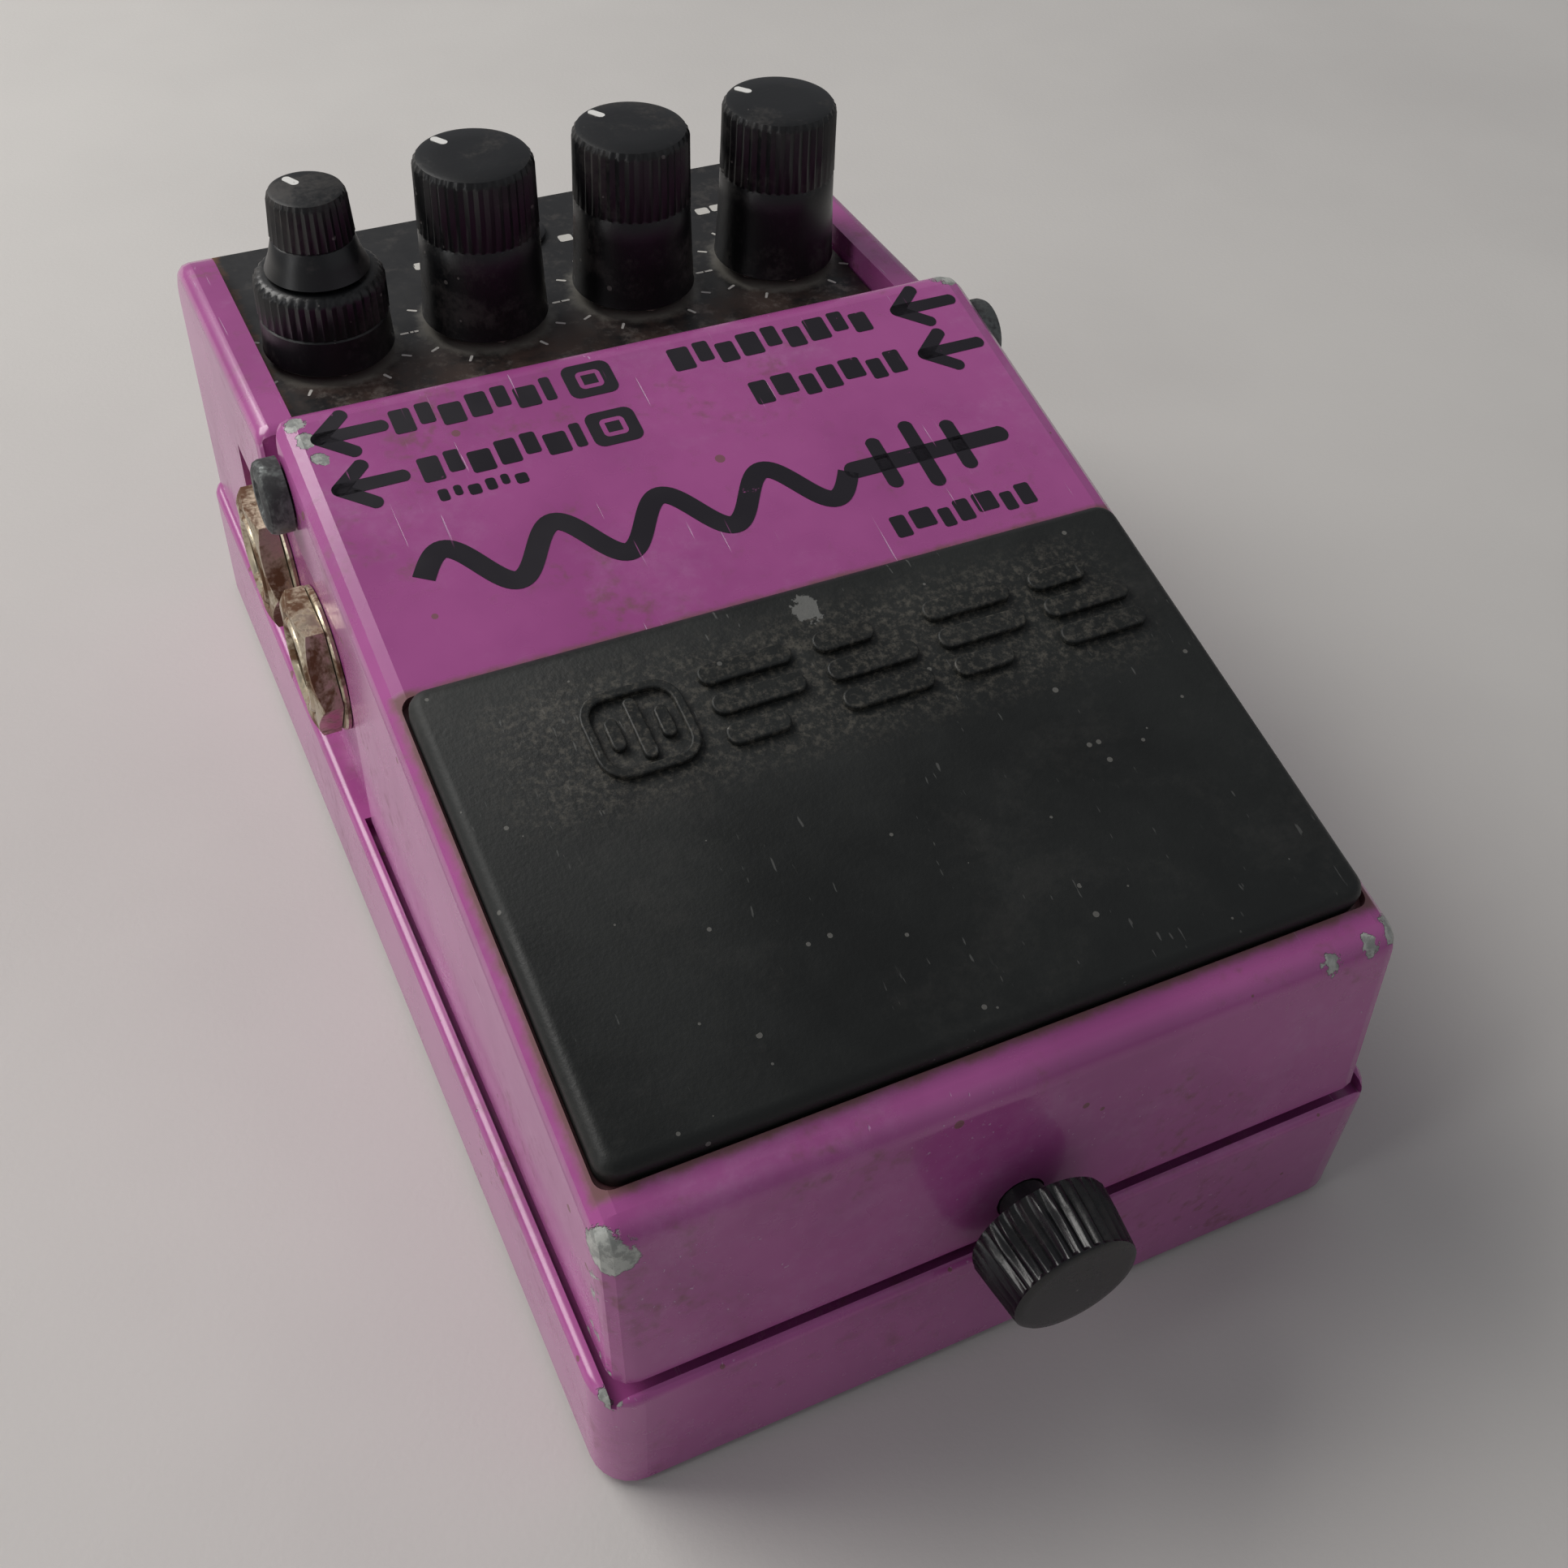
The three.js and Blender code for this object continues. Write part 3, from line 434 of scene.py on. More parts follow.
def boardMaterial(name):
    material, tree, shader, coords = startMaterial(name)
    cells = put(tree, "ShaderNodeTexBrick", {
        "Vector": moved(tree, coords, scale=(260, 260, 260)), "Color1": (0.02, 0.10, 0.045, 1),
        "Color2": (0.03, 0.15, 0.07, 1), "Mortar": (0.05, 0.2, 0.09, 1), "Mortar Size": 0.06,
    }).outputs["Color"]
    low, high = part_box("main_board")
    heights = split(tree, coords)[2]
    onParts = calc(tree, "GREATER_THAN", heights, low.z + 1.7 * mm)
    dark = calc(tree, "MULTIPLY", onParts, calc(tree, "LESS_THAN", heights, high.z + 0.5 * mm))
    colour = blendColour(tree, dark, cells, (0.015, 0.015, 0.017))
    solder = use(tree, speckGroup, Vector=coords, Scale=420.0, Share=0.3)
    colour = blendColour(tree, calc(tree, "MULTIPLY", solder, 0.8), colour, (0.55, 0.55, 0.52))
    connect(tree, shader, colour=colour, normal=bumpFrom(tree, solder, 0.1 * mm))
    shader.inputs["Roughness"].default_value = 0.4
    return material


def wrapMaterial(name):
    material, tree, shader, coords = startMaterial(name)
    low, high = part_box("battery")
    share = split(tree, coords)[0]
    band = between(tree, share, low.x + 33 * mm, low.x + 33.3 * mm)
    ends = between(tree, share, high.x - 3.4 * mm, high.x - 3.1 * mm)
    tone = noise(tree, coords, 300, 4)
    colour = blendColour(tree, band, (0.02, 0.021, 0.024), (0.42, 0.22, 0.05))
    colour = blendColour(tree, ends, colour, (0.5, 0.5, 0.48))
    colour = blendColour(tree, calc(tree, "MULTIPLY", use(
        tree, scratchGroup, Vector=coords, Amount=0.6), tone), colour, (0.5, 0.5, 0.5))
    connect(tree, shader, colour=colour, roughness=between(tree, tone, 0.3, 0.7, 0.25, 0.45))
    return material


def lensMaterial(name):
    material, tree, shader, coords = startMaterial(name)
    depth = noise(tree, coords, 900, 3)
    colour = blendColour(tree, depth, (0.32, 0.012, 0.01), (0.16, 0.006, 0.006))
    connect(tree, shader, colour=colour, normal=bumpFrom(tree, depth, 0.02 * mm, 0.4))
    shader.inputs["Roughness"].default_value = 0.12
    shader.inputs["Coat Weight"].default_value = 0.6
    return material


def floorMaterial(name):
    material, tree, shader, coords = startMaterial(name)
    tone = noise(tree, coords, 6, 5, 0.6)
    colour = blendColour(tree, between(tree, tone, 0.35, 0.7), (0.62, 0.60, 0.575), (0.56, 0.54, 0.52))
    weave = noise(tree, coords, 1600, 2)
    connect(tree, shader, colour=colour, normal=bumpFrom(tree, weave, 0.05 * mm, 0.5))
    shader.inputs["Roughness"].default_value = 0.8
    return material


# mesh helpers

def newPiece(name, bm, material, body, stands=(), smooth=35, outside=True):
    bmesh.ops.remove_doubles(bm, verts=bm.verts, dist=1e-7)
    if outside:
        bmesh.ops.recalc_face_normals(bm, faces=bm.faces)
    mesh = bpy.data.meshes.new(name)
    bm.to_mesh(mesh)
    bm.free()
    mesh.shade_smooth()
    mesh.set_sharp_from_angle(angle=math.radians(smooth))
    for finish in material if isinstance(material, list) else [material]:
        mesh.materials.append(finish)
    piece = bpy.data.objects.new(name, mesh)
    scene.collection.objects.link(piece)
    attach(piece, body)
    if stands:
        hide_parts(*stands)
    return piece


def measure(node):
    low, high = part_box(node)
    return low, high, (low + high) / 2


def bodyOf(node):
    return next(body for body, nodes in frame["record"]["behaviour"]["bodies"].items() if node in nodes)


def refine(node, material, edge=0.12 * mm, limit=40):
    # a copy of a cast or moulded piece, with its flat faces made whole and its sharp edges eased
    bm = bmesh.new()
    bm.from_mesh(frame["nodes"][node].data)
    bmesh.ops.remove_doubles(bm, verts=bm.verts, dist=2e-6)
    bmesh.ops.dissolve_limit(bm, angle_limit=math.radians(0.6), verts=bm.verts, edges=bm.edges)
    piece = newPiece(node + "_body", bm, material, bodyOf(node), [node], outside=False)
    if edge:
        ease = piece.modifiers.new("ease", "BEVEL")
        ease.width = edge
        ease.segments = 3
        ease.limit_method = "ANGLE"
        ease.angle_limit = math.radians(limit)
    weigh = piece.modifiers.new("weigh", "WEIGHTED_NORMAL")
    weigh.keep_sharp = True


def spun(profile, steps=64):
    # a profile of (radius, height) points turned about Z, closed at the axis where it meets it
    bm = bmesh.new()
    verts = [bm.verts.new((r, 0, z)) for r, z in profile]
    edges = [bm.edges.new(pair) for pair in zip(verts, verts[1:])]
    bmesh.ops.spin(bm, geom=verts + edges, cent=(0, 0, 0), axis=(0, 0, 1), angle=2 * math.pi,
                   steps=steps, use_merge=True)
    bmesh.ops.remove_doubles(bm, verts=bm.verts, dist=1e-7)
    return bm


def shift(bm, axis, place):
    # turns a piece made about Z so that +Z points along the axis, then moves it
    turn = Vector((0, 0, 1)).rotation_difference(Vector(axis)).to_matrix().to_4x4()
    bmesh.ops.transform(bm, matrix=Matrix.Translation(place) @ turn, verts=bm.verts)


def ribs(bm, count, depth, low, high, radius):
    # presses a wave of ribs into the part of the wall that lies between low and high
    for v in bm.verts:
        r = math.hypot(v.co.x, v.co.y)
        if low <= v.co.z <= high and r > radius:
            wave = 0.5 - 0.5 * math.cos(count * math.atan2(v.co.y, v.co.x))
            v.co.xy *= (r - depth * wave) / r


def box(bm, low, high, bevel=0.0):
    # a block between two corners, with its edges rounded
    size = Vector(high) - Vector(low)
    made = bmesh.ops.create_cube(bm, size=1)
    verts = made["verts"]
    bmesh.ops.scale(bm, vec=size, verts=verts)
    bmesh.ops.translate(bm, vec=(Vector(high) + Vector(low)) / 2, verts=verts)
    if bevel:
        edges = list({e for v in verts for e in v.link_edges})
        bmesh.ops.bevel(bm, geom=edges, offset=bevel, affect="EDGES", segments=2, profile=0.5,
                        material=-1)


def capsule(bm, start, end, width, sides=18):
    # a flat stroke with round ends, in the XY plane
    a, b = Vector((*start, 0)), Vector((*end, 0))
    along = b - a
    face = bmesh.ops.create_circle(bm, cap_ends=True, radius=width / 2, segments=sides)
    for v in face["verts"]:
        v.co.x += along.length / 2 * (1 if v.co.x > 0 else -1)
    turn = Matrix.Rotation(math.atan2(along.y, along.x), 4, "Z")
    bmesh.ops.transform(bm, matrix=Matrix.Translation((a + b) / 2) @ turn, verts=face["verts"])


def roundRect(bm, centre, size, radius, ring=0.0):
    # a flat rounded rectangle in the XY plane; ring leaves only a band that wide
    made = bmesh.ops.create_grid(bm, x_segments=1, y_segments=1, size=0.5)
    bmesh.ops.scale(bm, vec=(size[0], size[1], 1), verts=made["verts"])
    bmesh.ops.translate(bm, vec=(*centre, 0), verts=made["verts"])
    rounded = bmesh.ops.bevel(bm, geom=made["verts"], offset=radius, affect="VERTICES", segments=5,
                             profile=0.5, material=-1)
    face = max((f for v in rounded["verts"] for f in v.link_faces), key=lambda f: f.calc_area())
    if ring:
        bmesh.ops.inset_individual(bm, faces=[face], thickness=ring)
        bmesh.ops.delete(bm, geom=[face], context="FACES")


def raiseAll(bm, low, high, place=None):
    # gives flat shapes their thickness and sets them on a sloping face
    bmesh.ops.translate(bm, vec=(0, 0, low), verts=bm.verts)
    bmesh.ops.recalc_face_normals(bm, faces=bm.faces)
    for face in bm.faces:
        if face.normal.z < 0:
            face.normal_flip()
    flat = list(bm.faces)
    up = bmesh.ops.extrude_face_region(bm, geom=flat, use_keep_orig=True)
    verts = [g for g in up["geom"] if isinstance(g, bmesh.types.BMVert)]
    bmesh.ops.translate(bm, vec=(0, 0, high - low), verts=verts)
    if place is not None:
        bmesh.ops.transform(bm, matrix=place, verts=bm.verts)


# finishes of this pedal

treadleHalf = (top["halfWidth"], top["length"] / 2, 30 * mm)
treadleMiddle = (0, top["length"] / 2, -30 * mm)
caseLow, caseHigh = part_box("chassis")
tubTop = 14.6 * mm
tubMiddle = ((caseLow.x + caseHigh.x) / 2, (caseLow.y + caseHigh.y) / 2, tubTop / 2)
tubHalf = ((caseHigh.x - caseLow.x) / 2, (caseHigh.y - caseLow.y) / 2, tubTop / 2)
leftX = -top["halfWidth"]
treadlePaint = paintMaterial("treadlePaint", [(treadleMiddle, treadleHalf)], [
    ((leftX + 0.9 * mm, 0.5 * mm, -2.4 * mm), 3.3 * mm, 0.8),
    ((leftX + 1.5 * mm, 0.4 * mm, -6.5 * mm), 3.0 * mm, 1.15),
    ((leftX + 1.0 * mm, 0.5 * mm, -11 * mm), 2.2 * mm, 1.2),
    ((-leftX - 7 * mm, 0.2 * mm, -0.5 * mm), 2.4 * mm, 1.3),
    ((-leftX - 3.4 * mm, 0.3 * mm, -0.4 * mm), 2.2 * mm, 1.3),
    ((-leftX - 0.5 * mm, 1.2 * mm, -0.8 * mm), 2.4 * mm, 1.0),
    ((-leftX - 1.6 * mm, 78 * mm, 0), 3.0 * mm, 1.15),
    ((leftX + 1.9 * mm, 77.2 * mm, 0), 1.9 * mm, 1.0),
    ((leftX + 2.3 * mm, 75.0 * mm, 0), 1.7 * mm, 1.0),
    ((leftX + 2.9 * mm, 72.6 * mm, 0), 1.5 * mm, 1.1),
], padDust=True)
casePaint = paintMaterial("casePaint", [(tubMiddle, tubHalf)], [
    ((caseLow.x + 1 * mm, caseLow.y + 1 * mm, tubTop), 3.0 * mm, 1.25),
    ((caseHigh.x - 1 * mm, caseHigh.y - 2 * mm, caseHigh.z - 3 * mm), 3.4 * mm, 1.1),
])
padRubber = rubberMaterial("padRubber", marked=True)
baseRubber = rubberMaterial("baseRubber", (0.03, 0.03, 0.03))
knobPlastic = plasticMaterial("knobPlastic", gloss=0.28, dusty=0.12)
screwPlastic = plasticMaterial("screwPlastic", gloss=0.16, dusty=0.06)
innerPlastic = plasticMaterial("innerPlastic", (0.016, 0.016, 0.018), gloss=0.4)
tarnishedNickel = metalMaterial("tarnishedNickel", (0.66, 0.58, 0.43), (0.13, 0.06, 0.025), 1.0)
brightNickel = metalMaterial("brightNickel", (0.62, 0.59, 0.52), (0.2, 0.14, 0.09), 0.5)
zincSteel = metalMaterial("zincSteel", (0.58, 0.59, 0.6), (0.25, 0.24, 0.22), 0.5, 0.32)
bushSteel = metalMaterial("bushSteel", (0.2, 0.215, 0.21), (0.05, 0.05, 0.052), 1.0, 0.34)
panelFinish = labelMaterial("panelFinish")
blackInk = inkMaterial("blackInk", (0.012, 0.009, 0.014), paint["colour"])
whiteInk = inkMaterial("whiteInk", (0.62, 0.6, 0.56), (0.05, 0.045, 0.045), 0.8)
pointerWhite = inkMaterial("pointerWhite", (0.8, 0.79, 0.76), (0.3, 0.29, 0.28), 0.5)
boardGreen = boardMaterial("boardGreen")
batteryWrap = wrapMaterial("batteryWrap")
lensRed = lensMaterial("lensRed")
print("materials made")


# case and treadle

refine("chassis", casePaint)
refine("treadle", treadlePaint, 0.3 * mm, 20)
refine("control_panel", panelFinish, 0.08 * mm)
print("case, treadle and panel made")

pad = {"corner": 1.8 * mm, "chamfer": 1.0 * mm, "sink": 0.85 * mm, "markHeight": 0.55 * mm}


def makePad():
    bm = bmesh.new()
    halfX = (padHigh.x - padLow.x) / 2
    middle = top["padStart"] + top["padLength"] / 2
    made = bmesh.ops.create_cube(bm, size=1)["verts"]
    bmesh.ops.scale(bm, vec=(2 * halfX, top["padLength"], top["padProud"] + pad["sink"]), verts=made)
    bmesh.ops.translate(bm, vec=(0, middle, (top["padProud"] - pad["sink"]) / 2), verts=made)
    upright = [e for e in bm.edges if abs(e.verts[0].co.z - e.verts[1].co.z) > mm]
    bmesh.ops.bevel(bm, geom=upright, offset=pad["corner"], affect="EDGES", segments=8, profile=0.5,
                    material=-1)
    rim = [e for e in bm.edges if all(v.co.z > top["padProud"] - 0.01 * mm for v in e.verts)]
    bmesh.ops.bevel(bm, geom=rim, offset=pad["chamfer"], affect="EDGES", segments=4, profile=0.4, material=-1)
    bmesh.ops.transform(bm, matrix=topPlace, verts=bm.verts)
    newPiece("rubber_pad", bm, padRubber, "treadle", ["treadle_pad"])


def makePadMarks():
    # raised marks of the pad: a pulse in a frame, then four groups of three bars
    bm = bmesh.new()
    row = 36.8 * mm
    high = 8.2 * mm
    roundRect(bm, (-16.4 * mm, row), (8.6 * mm, high), 2.4 * mm, 0.8 * mm)
    for x, reach in ((-18.5, 0.9), (-16.4, 2.3), (-14.3, 0.9)):
        capsule(bm, (x * mm, row - reach * mm), (x * mm, row + reach * mm), 1.2 * mm)
    for i in range(4):
        x = (-6.2 + 10.2 * i) * mm
        turn = (-1) ** i
        capsule(bm, (x - 3.1 * mm, row + 3.0 * mm * turn), (x + 3.1 * mm, row + 3.0 * mm * turn), 2.0 * mm)
        capsule(bm, (x - 3.1 * mm, row - 3.0 * mm * turn), (x + 0.4 * mm, row - 3.0 * mm * turn), 2.0 * mm)
        capsule(bm, (x - 3.1 * mm, row), (x + 3.1 * mm, row), 2.0 * mm)
    raiseAll(bm, top["padProud"] - 0.05 * mm, top["padProud"] + pad["markHeight"], topPlace)
    piece = newPiece("pad_marks", bm, padRubber, "treadle")
    soft = piece.modifiers.new("soften", "BEVEL")
    soft.width = 0.16 * mm
    soft.segments = 3
    soft.limit_method = "ANGLE"


makePad()
makePadMarks()
refine("treadle_tip", innerPlastic, 0)
print("pad made")

prints = {"thick": 0.035 * mm, "stroke": 1.4 * mm, "head": 3.2 * mm}


def arrow(bm, tipX, tailX, s):
    capsule(bm, (tipX * mm, s * mm), (tailX * mm, s * mm), prints["stroke"])
    for side in (-1, 1):
        end = (tipX * mm + prints["head"] * math.cos(0.72), s * mm + side * prints["head"] * math.sin(0.72))
        capsule(bm, (tipX * mm, s * mm), end, prints["stroke"])


def wordBars(bm, startX, endX, s, high, widths):
    # a row of small blocks in place of a word
    x = startX
    turn = 0
    while x < endX - widths[0] * 0.4:
        width = min(widths[turn % len(widths)], endX - x)
        lift = (0, 0.25, -0.25)[turn % 3] * high * 0.5
        roundRect(bm, ((x + width / 2) * mm, s * mm + lift * mm),
                  (width * mm, (high - abs(lift)) * mm), 0.28 * mm)
        x += width + 0.5
        turn += 1


def wave(bm, startX, endX, s, turns, swing, thick):
    # a thick line that swings about a straight one
    made = bmesh.ops.create_grid(bm, x_segments=160, y_segments=1, size=0.5)
    length = endX - startX
    for v in made["verts"]:
        t = v.co.x + 0.5
        phase = 2 * math.pi * turns * t
        steep = swing * 2 * math.pi * turns / length * math.cos(phase)
        side = math.copysign(thick / 2, v.co.y) / math.hypot(1, steep)
        v.co = Vector(((startX + length * t - side * steep) * mm,
                       (s + swing * math.sin(phase) + side) * mm, 0))


def makePrint():
    bm = bmesh.new()
    for s in (74.8, 68.8):
        arrow(bm, -30.6, -25.2, s)
        arrow(bm, 25.4, 31.0, s)
    wordBars(bm, -24.2, -9.4, 74.8, 2.8, (1.9, 1.4, 2.1))
    wordBars(bm, -23.6, -8.8, 68.8, 2.8, (1.9, 1.4, 2.1))
    wordBars(bm, -23.0, -14.4, 65.7, 1.3, (0.9, 0.7, 1.1))
    wordBars(bm, 2.0, 23.0, 74.8, 2.8, (2.1, 1.5, 1.8))
    wordBars(bm, 7.6, 23.0, 68.8, 2.8, (1.8, 2.1, 1.5))
    for s in (74.8, 68.8):
        roundRect(bm, (-5.9 * mm, s * mm), (4.6 * mm, 4.0 * mm), 0.9 * mm)
    wave(bm, -27.0, 12.0, 57.6, 4, 2.5, 1.9)
    capsule(bm, (12.6 * mm, 57.6 * mm), (27.4 * mm, 57.6 * mm), 1.9 * mm)
    for x, tall in ((15.6, 2.3), (19.4, 3.3), (23.2, 2.3)):
        capsule(bm, (x * mm, (57.6 - tall) * mm), (x * mm, (57.6 + tall) * mm), 1.5 * mm)
    wordBars(bm, 13.0, 28.0, 50.4, 2.4, (1.5, 2.1, 1.2))
    raiseAll(bm, -0.02 * mm, prints["thick"], topPlace)
    newPiece("treadle_print", bm, blackInk, "treadle")
    bm = bmesh.new()
    for s in (74.8, 68.8):
        roundRect(bm, (-5.9 * mm, s * mm), (2.3 * mm, 2.1 * mm), 0.5 * mm, 0.45 * mm)
    raiseAll(bm, prints["thick"] - 0.01 * mm, prints["thick"] + 0.01 * mm, topPlace)
    newPiece("badge_print", bm, treadlePaint, "treadle")


makePrint()
print("prints made")


# hinge bushes

bush = {"rim": 0.7 * mm, "sleeve": 2.2 * mm, "groove": 0.25 * mm}


def makeBush(node, side):
    low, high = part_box(node)
    middleY, middleZ = (low.y + high.y) / 2, (low.z + high.z) / 2
    radius = (high.z - low.z) / 2
    inner, outer = (low.x, high.x) if side > 0 else (-high.x, -low.x)
    seat = outer - 2.2 * mm
    bm = spun([
        (0, outer - 1 * mm), (1.35 * mm, outer - 1 * mm), (1.35 * mm, inner), (bush["sleeve"], inner),
        (bush["sleeve"], seat), (radius, seat), (radius, outer - bush["rim"]),
        (radius - 0.2 * mm, outer - 0.25 * mm), (radius - bush["rim"], outer), (1.7 * mm, outer),
        (1.5 * mm, outer - bush["groove"]), (0, outer - bush["groove"]),
    ], 48)
    shift(bm, (side, 0, 0), (0, middleY, middleZ))
    newPiece("end_" + node, bm, bushSteel, "treadle", [node])


makeBush("hinge_bush_left", -1)
makeBush("hinge_bush_right", 1)


# knobs

knob = {"ribs": 38, "ribDepth": 0.25 * mm, "hollow": 5.5 * mm, "nutRoom": 2.2 * mm,
        "pointerLength": 1.7 * mm, "pointerWidth": 0.85 * mm, "pointerInset": 0.7 * mm}
pointerAngles = {"knob_dual_inner": 28, "knob_second": 32, "knob_third": 33, "knob_fourth": 40}


def addPointer(node, place, height, reach):
    # the short white line near the rim
    mark = bmesh.new()
    capsule(mark, (0, reach - knob["pointerLength"]), (0, reach - knob["pointerInset"]), knob["pointerWidth"])
    raiseAll(mark, -0.03 * mm, 0.035 * mm)
    turn = Matrix.Rotation(math.radians(pointerAngles[node]), 4, "Z")
    bmesh.ops.transform(mark, matrix=Matrix.Translation((place.x, place.y, height)) @ turn, verts=mark.verts)
    newPiece(node + "_mark", mark, pointerWhite, bodyOf(node))


def makeKnob(node):
    low, high, centre = measure(node)
    foot = (high.x - low.x) / 2 - 0.05 * mm
    tall = high.z - low.z
    waist = 0.56 * tall
    crown, skirt = foot - 0.5 * mm, foot - 0.42 * mm
    profile = [
        (0, waist), (3.15 * mm, waist), (3.15 * mm, knob["nutRoom"]), (knob["hollow"], knob["nutRoom"]),
        (knob["hollow"], 0), (foot - 0.12 * mm, 0), (foot, 0.15 * mm), (foot - 0.06 * mm, 0.5 * mm),
        (foot - 0.2 * mm, 0.2 * tall), (skirt + 0.06 * mm, 0.42 * tall), (skirt, waist - 0.18 * mm),
        (skirt - 0.12 * mm, waist), (crown + 0.12 * mm, waist + 0.22 * mm), (crown + 0.05 * mm, 0.75 * tall),
        (crown, tall - 0.95 * mm), (crown - 0.08 * mm, tall - 0.6 * mm),
        (crown - 0.4 * mm, tall - 0.22 * mm), (crown - 0.85 * mm, tall - 0.08 * mm),
        (0.5 * crown, tall - 0.03 * mm), (0, tall - 0.02 * mm),
    ]
    bm = spun(profile, 4 * knob["ribs"])
    ribs(bm, knob["ribs"], knob["ribDepth"], waist + 0.1 * mm, tall - 0.55 * mm, 5 * mm)
    shift(bm, (0, 0, 1), (centre.x, centre.y, low.z))
    newPiece(node + "_cap", bm, knobPlastic, bodyOf(node), [node], smooth=40)
    addPointer(node, centre, high.z - 0.045 * mm, crown - 0.5 * mm)


def makeDualOuter():
    low, high, centre = measure("knob_dual_outer")
    foot = (high.x - low.x) / 2
    tall = high.z - low.z
    waist = 0.46 * tall
    crown = foot - 0.1 * mm
    bm = spun([
        (3.6 * mm, tall), (3.6 * mm, knob["nutRoom"]), (knob["hollow"], knob["nutRoom"]), (knob["hollow"], 0),
        (foot - 0.1 * mm, 0), (foot, 0.15 * mm), (foot - 0.05 * mm, 0.5 * mm),
        (foot - 0.2 * mm, waist - 0.15 * mm), (foot - 0.34 * mm, waist),
        (crown, waist + 0.2 * mm), (crown - 0.04 * mm, tall - 0.9 * mm),
        (crown - 0.16 * mm, tall - 0.5 * mm), (crown - 0.6 * mm, tall - 0.12 * mm), (crown - 1 * mm, tall),
        (3.6 * mm, tall),
    ], 4 * knob["ribs"])
    ribs(bm, knob["ribs"], knob["ribDepth"], waist + 0.1 * mm, tall - 0.45 * mm, 5 * mm)
    shift(bm, (0, 0, 1), (centre.x, centre.y, low.z))
    newPiece("knob_dual_outer_cap", bm, knobPlastic, "knob_dual_outer",
             ["knob_dual_outer"], 40)


def makeDualInner():
    low, high, centre = measure("knob_dual_inner")
    foot = (high.x - low.x) / 2
    tall = high.z - low.z
    waist = 0.4 * tall
    crown = foot - 1.02 * mm
    count = 30
    bm = spun([
        (0, 0.5 * tall), (1.9 * mm, 0.5 * tall), (1.9 * mm, 0), (foot - 0.12 * mm, 0), (foot, 0.12 * mm),
        (foot - 0.55 * mm, 0.45 * waist), (crown + 0.02 * mm, waist - 0.15 * mm), (crown - 0.14 * mm, waist),
        (crown + 0.06 * mm, waist + 0.2 * mm), (crown - 0.2 * mm, tall - 0.8 * mm),
        (crown - 0.28 * mm, tall - 0.5 * mm),
        (crown - 0.5 * mm, tall - 0.16 * mm), (crown - 0.85 * mm, tall - 0.06 * mm), (0, tall - 0.03 * mm),
    ], 4 * count)
    ribs(bm, count, 0.22 * mm, waist + 0.1 * mm, tall - 0.45 * mm, 3.1 * mm)
    shift(bm, (0, 0, 1), (centre.x, centre.y, low.z))
    newPiece("knob_dual_inner_cap", bm, knobPlastic, "knob_dual_inner",
             ["knob_dual_inner"], 40)
    addPointer("knob_dual_inner", centre, high.z - 0.045 * mm, crown - 0.75 * mm)


for node in ("knob_second", "knob_third", "knob_fourth"):
    makeKnob(node)
makeDualOuter()
makeDualInner()
print("knobs made")


# thumbscrew

screw = {"ribs": 34, "ribDepth": 0.36 * mm, "head": 6 * mm, "shaft": 2 * mm, "pitch": 0.7 * mm}


def makeThumbscrew():
    low, high, centre = measure("thumbscrew")
    big = (high.x - low.x) / 2
    length = high.y - low.y
    face = big - 0.62 * mm
    profile = [
        (0, 0), (face - 0.8 * mm, 0), (face - 0.25 * mm, 0.06 * mm), (face, 0.28 * mm),
        (face + 0.06 * mm, 0.6 * mm), (big - 0.2 * mm, 0.6 * screw["head"]),
        (big, screw["head"] - 0.5 * mm), (big - 0.15 * mm, screw["head"] - 0.15 * mm),
        (big - 0.5 * mm, screw["head"]), (2.6 * mm, screw["head"]), (2.4 * mm, screw["head"] + 0.2 * mm),
        (screw["shaft"], screw["head"] + 0.3 * mm), (screw["shaft"], length - 4.4 * mm),
    ]
    z = length - 4.2 * mm
    while z < length - 0.8 * mm:
        profile += [(screw["shaft"], z), (screw["shaft"] - 0.35 * mm, z + 0.35 * screw["pitch"])]
        z += screw["pitch"]
    profile += [(screw["shaft"] - 0.1 * mm, length - 0.4 * mm), (screw["shaft"] - 0.5 * mm, length),
                (0, length)]
    bm = spun(profile, 6 * screw["ribs"])
    ribs(bm, screw["ribs"], screw["ribDepth"], 0.5 * mm, screw["head"] - 0.3 * mm, 4.6 * mm)
    shift(bm, (0, 1, 0), (centre.x, low.y, centre.z))
    newPiece("thumbscrew_head", bm, screwPlastic, "thumbscrew", ["thumbscrew"], 40)


makeThumbscrew()


# sockets

socket = {"barrel": 4.6 * mm, "bore": 3.3 * mm, "deep": 13 * mm, "pitch": 0.75 * mm, "threadFrom": 33.6 * mm}
nut = {"flats": 12.2 * mm, "bore": 4.75 * mm, "thick": 2.2 * mm}
potNut = {"flats": 9.1 * mm, "bore": 3.65 * mm, "thick": 1.8 * mm}


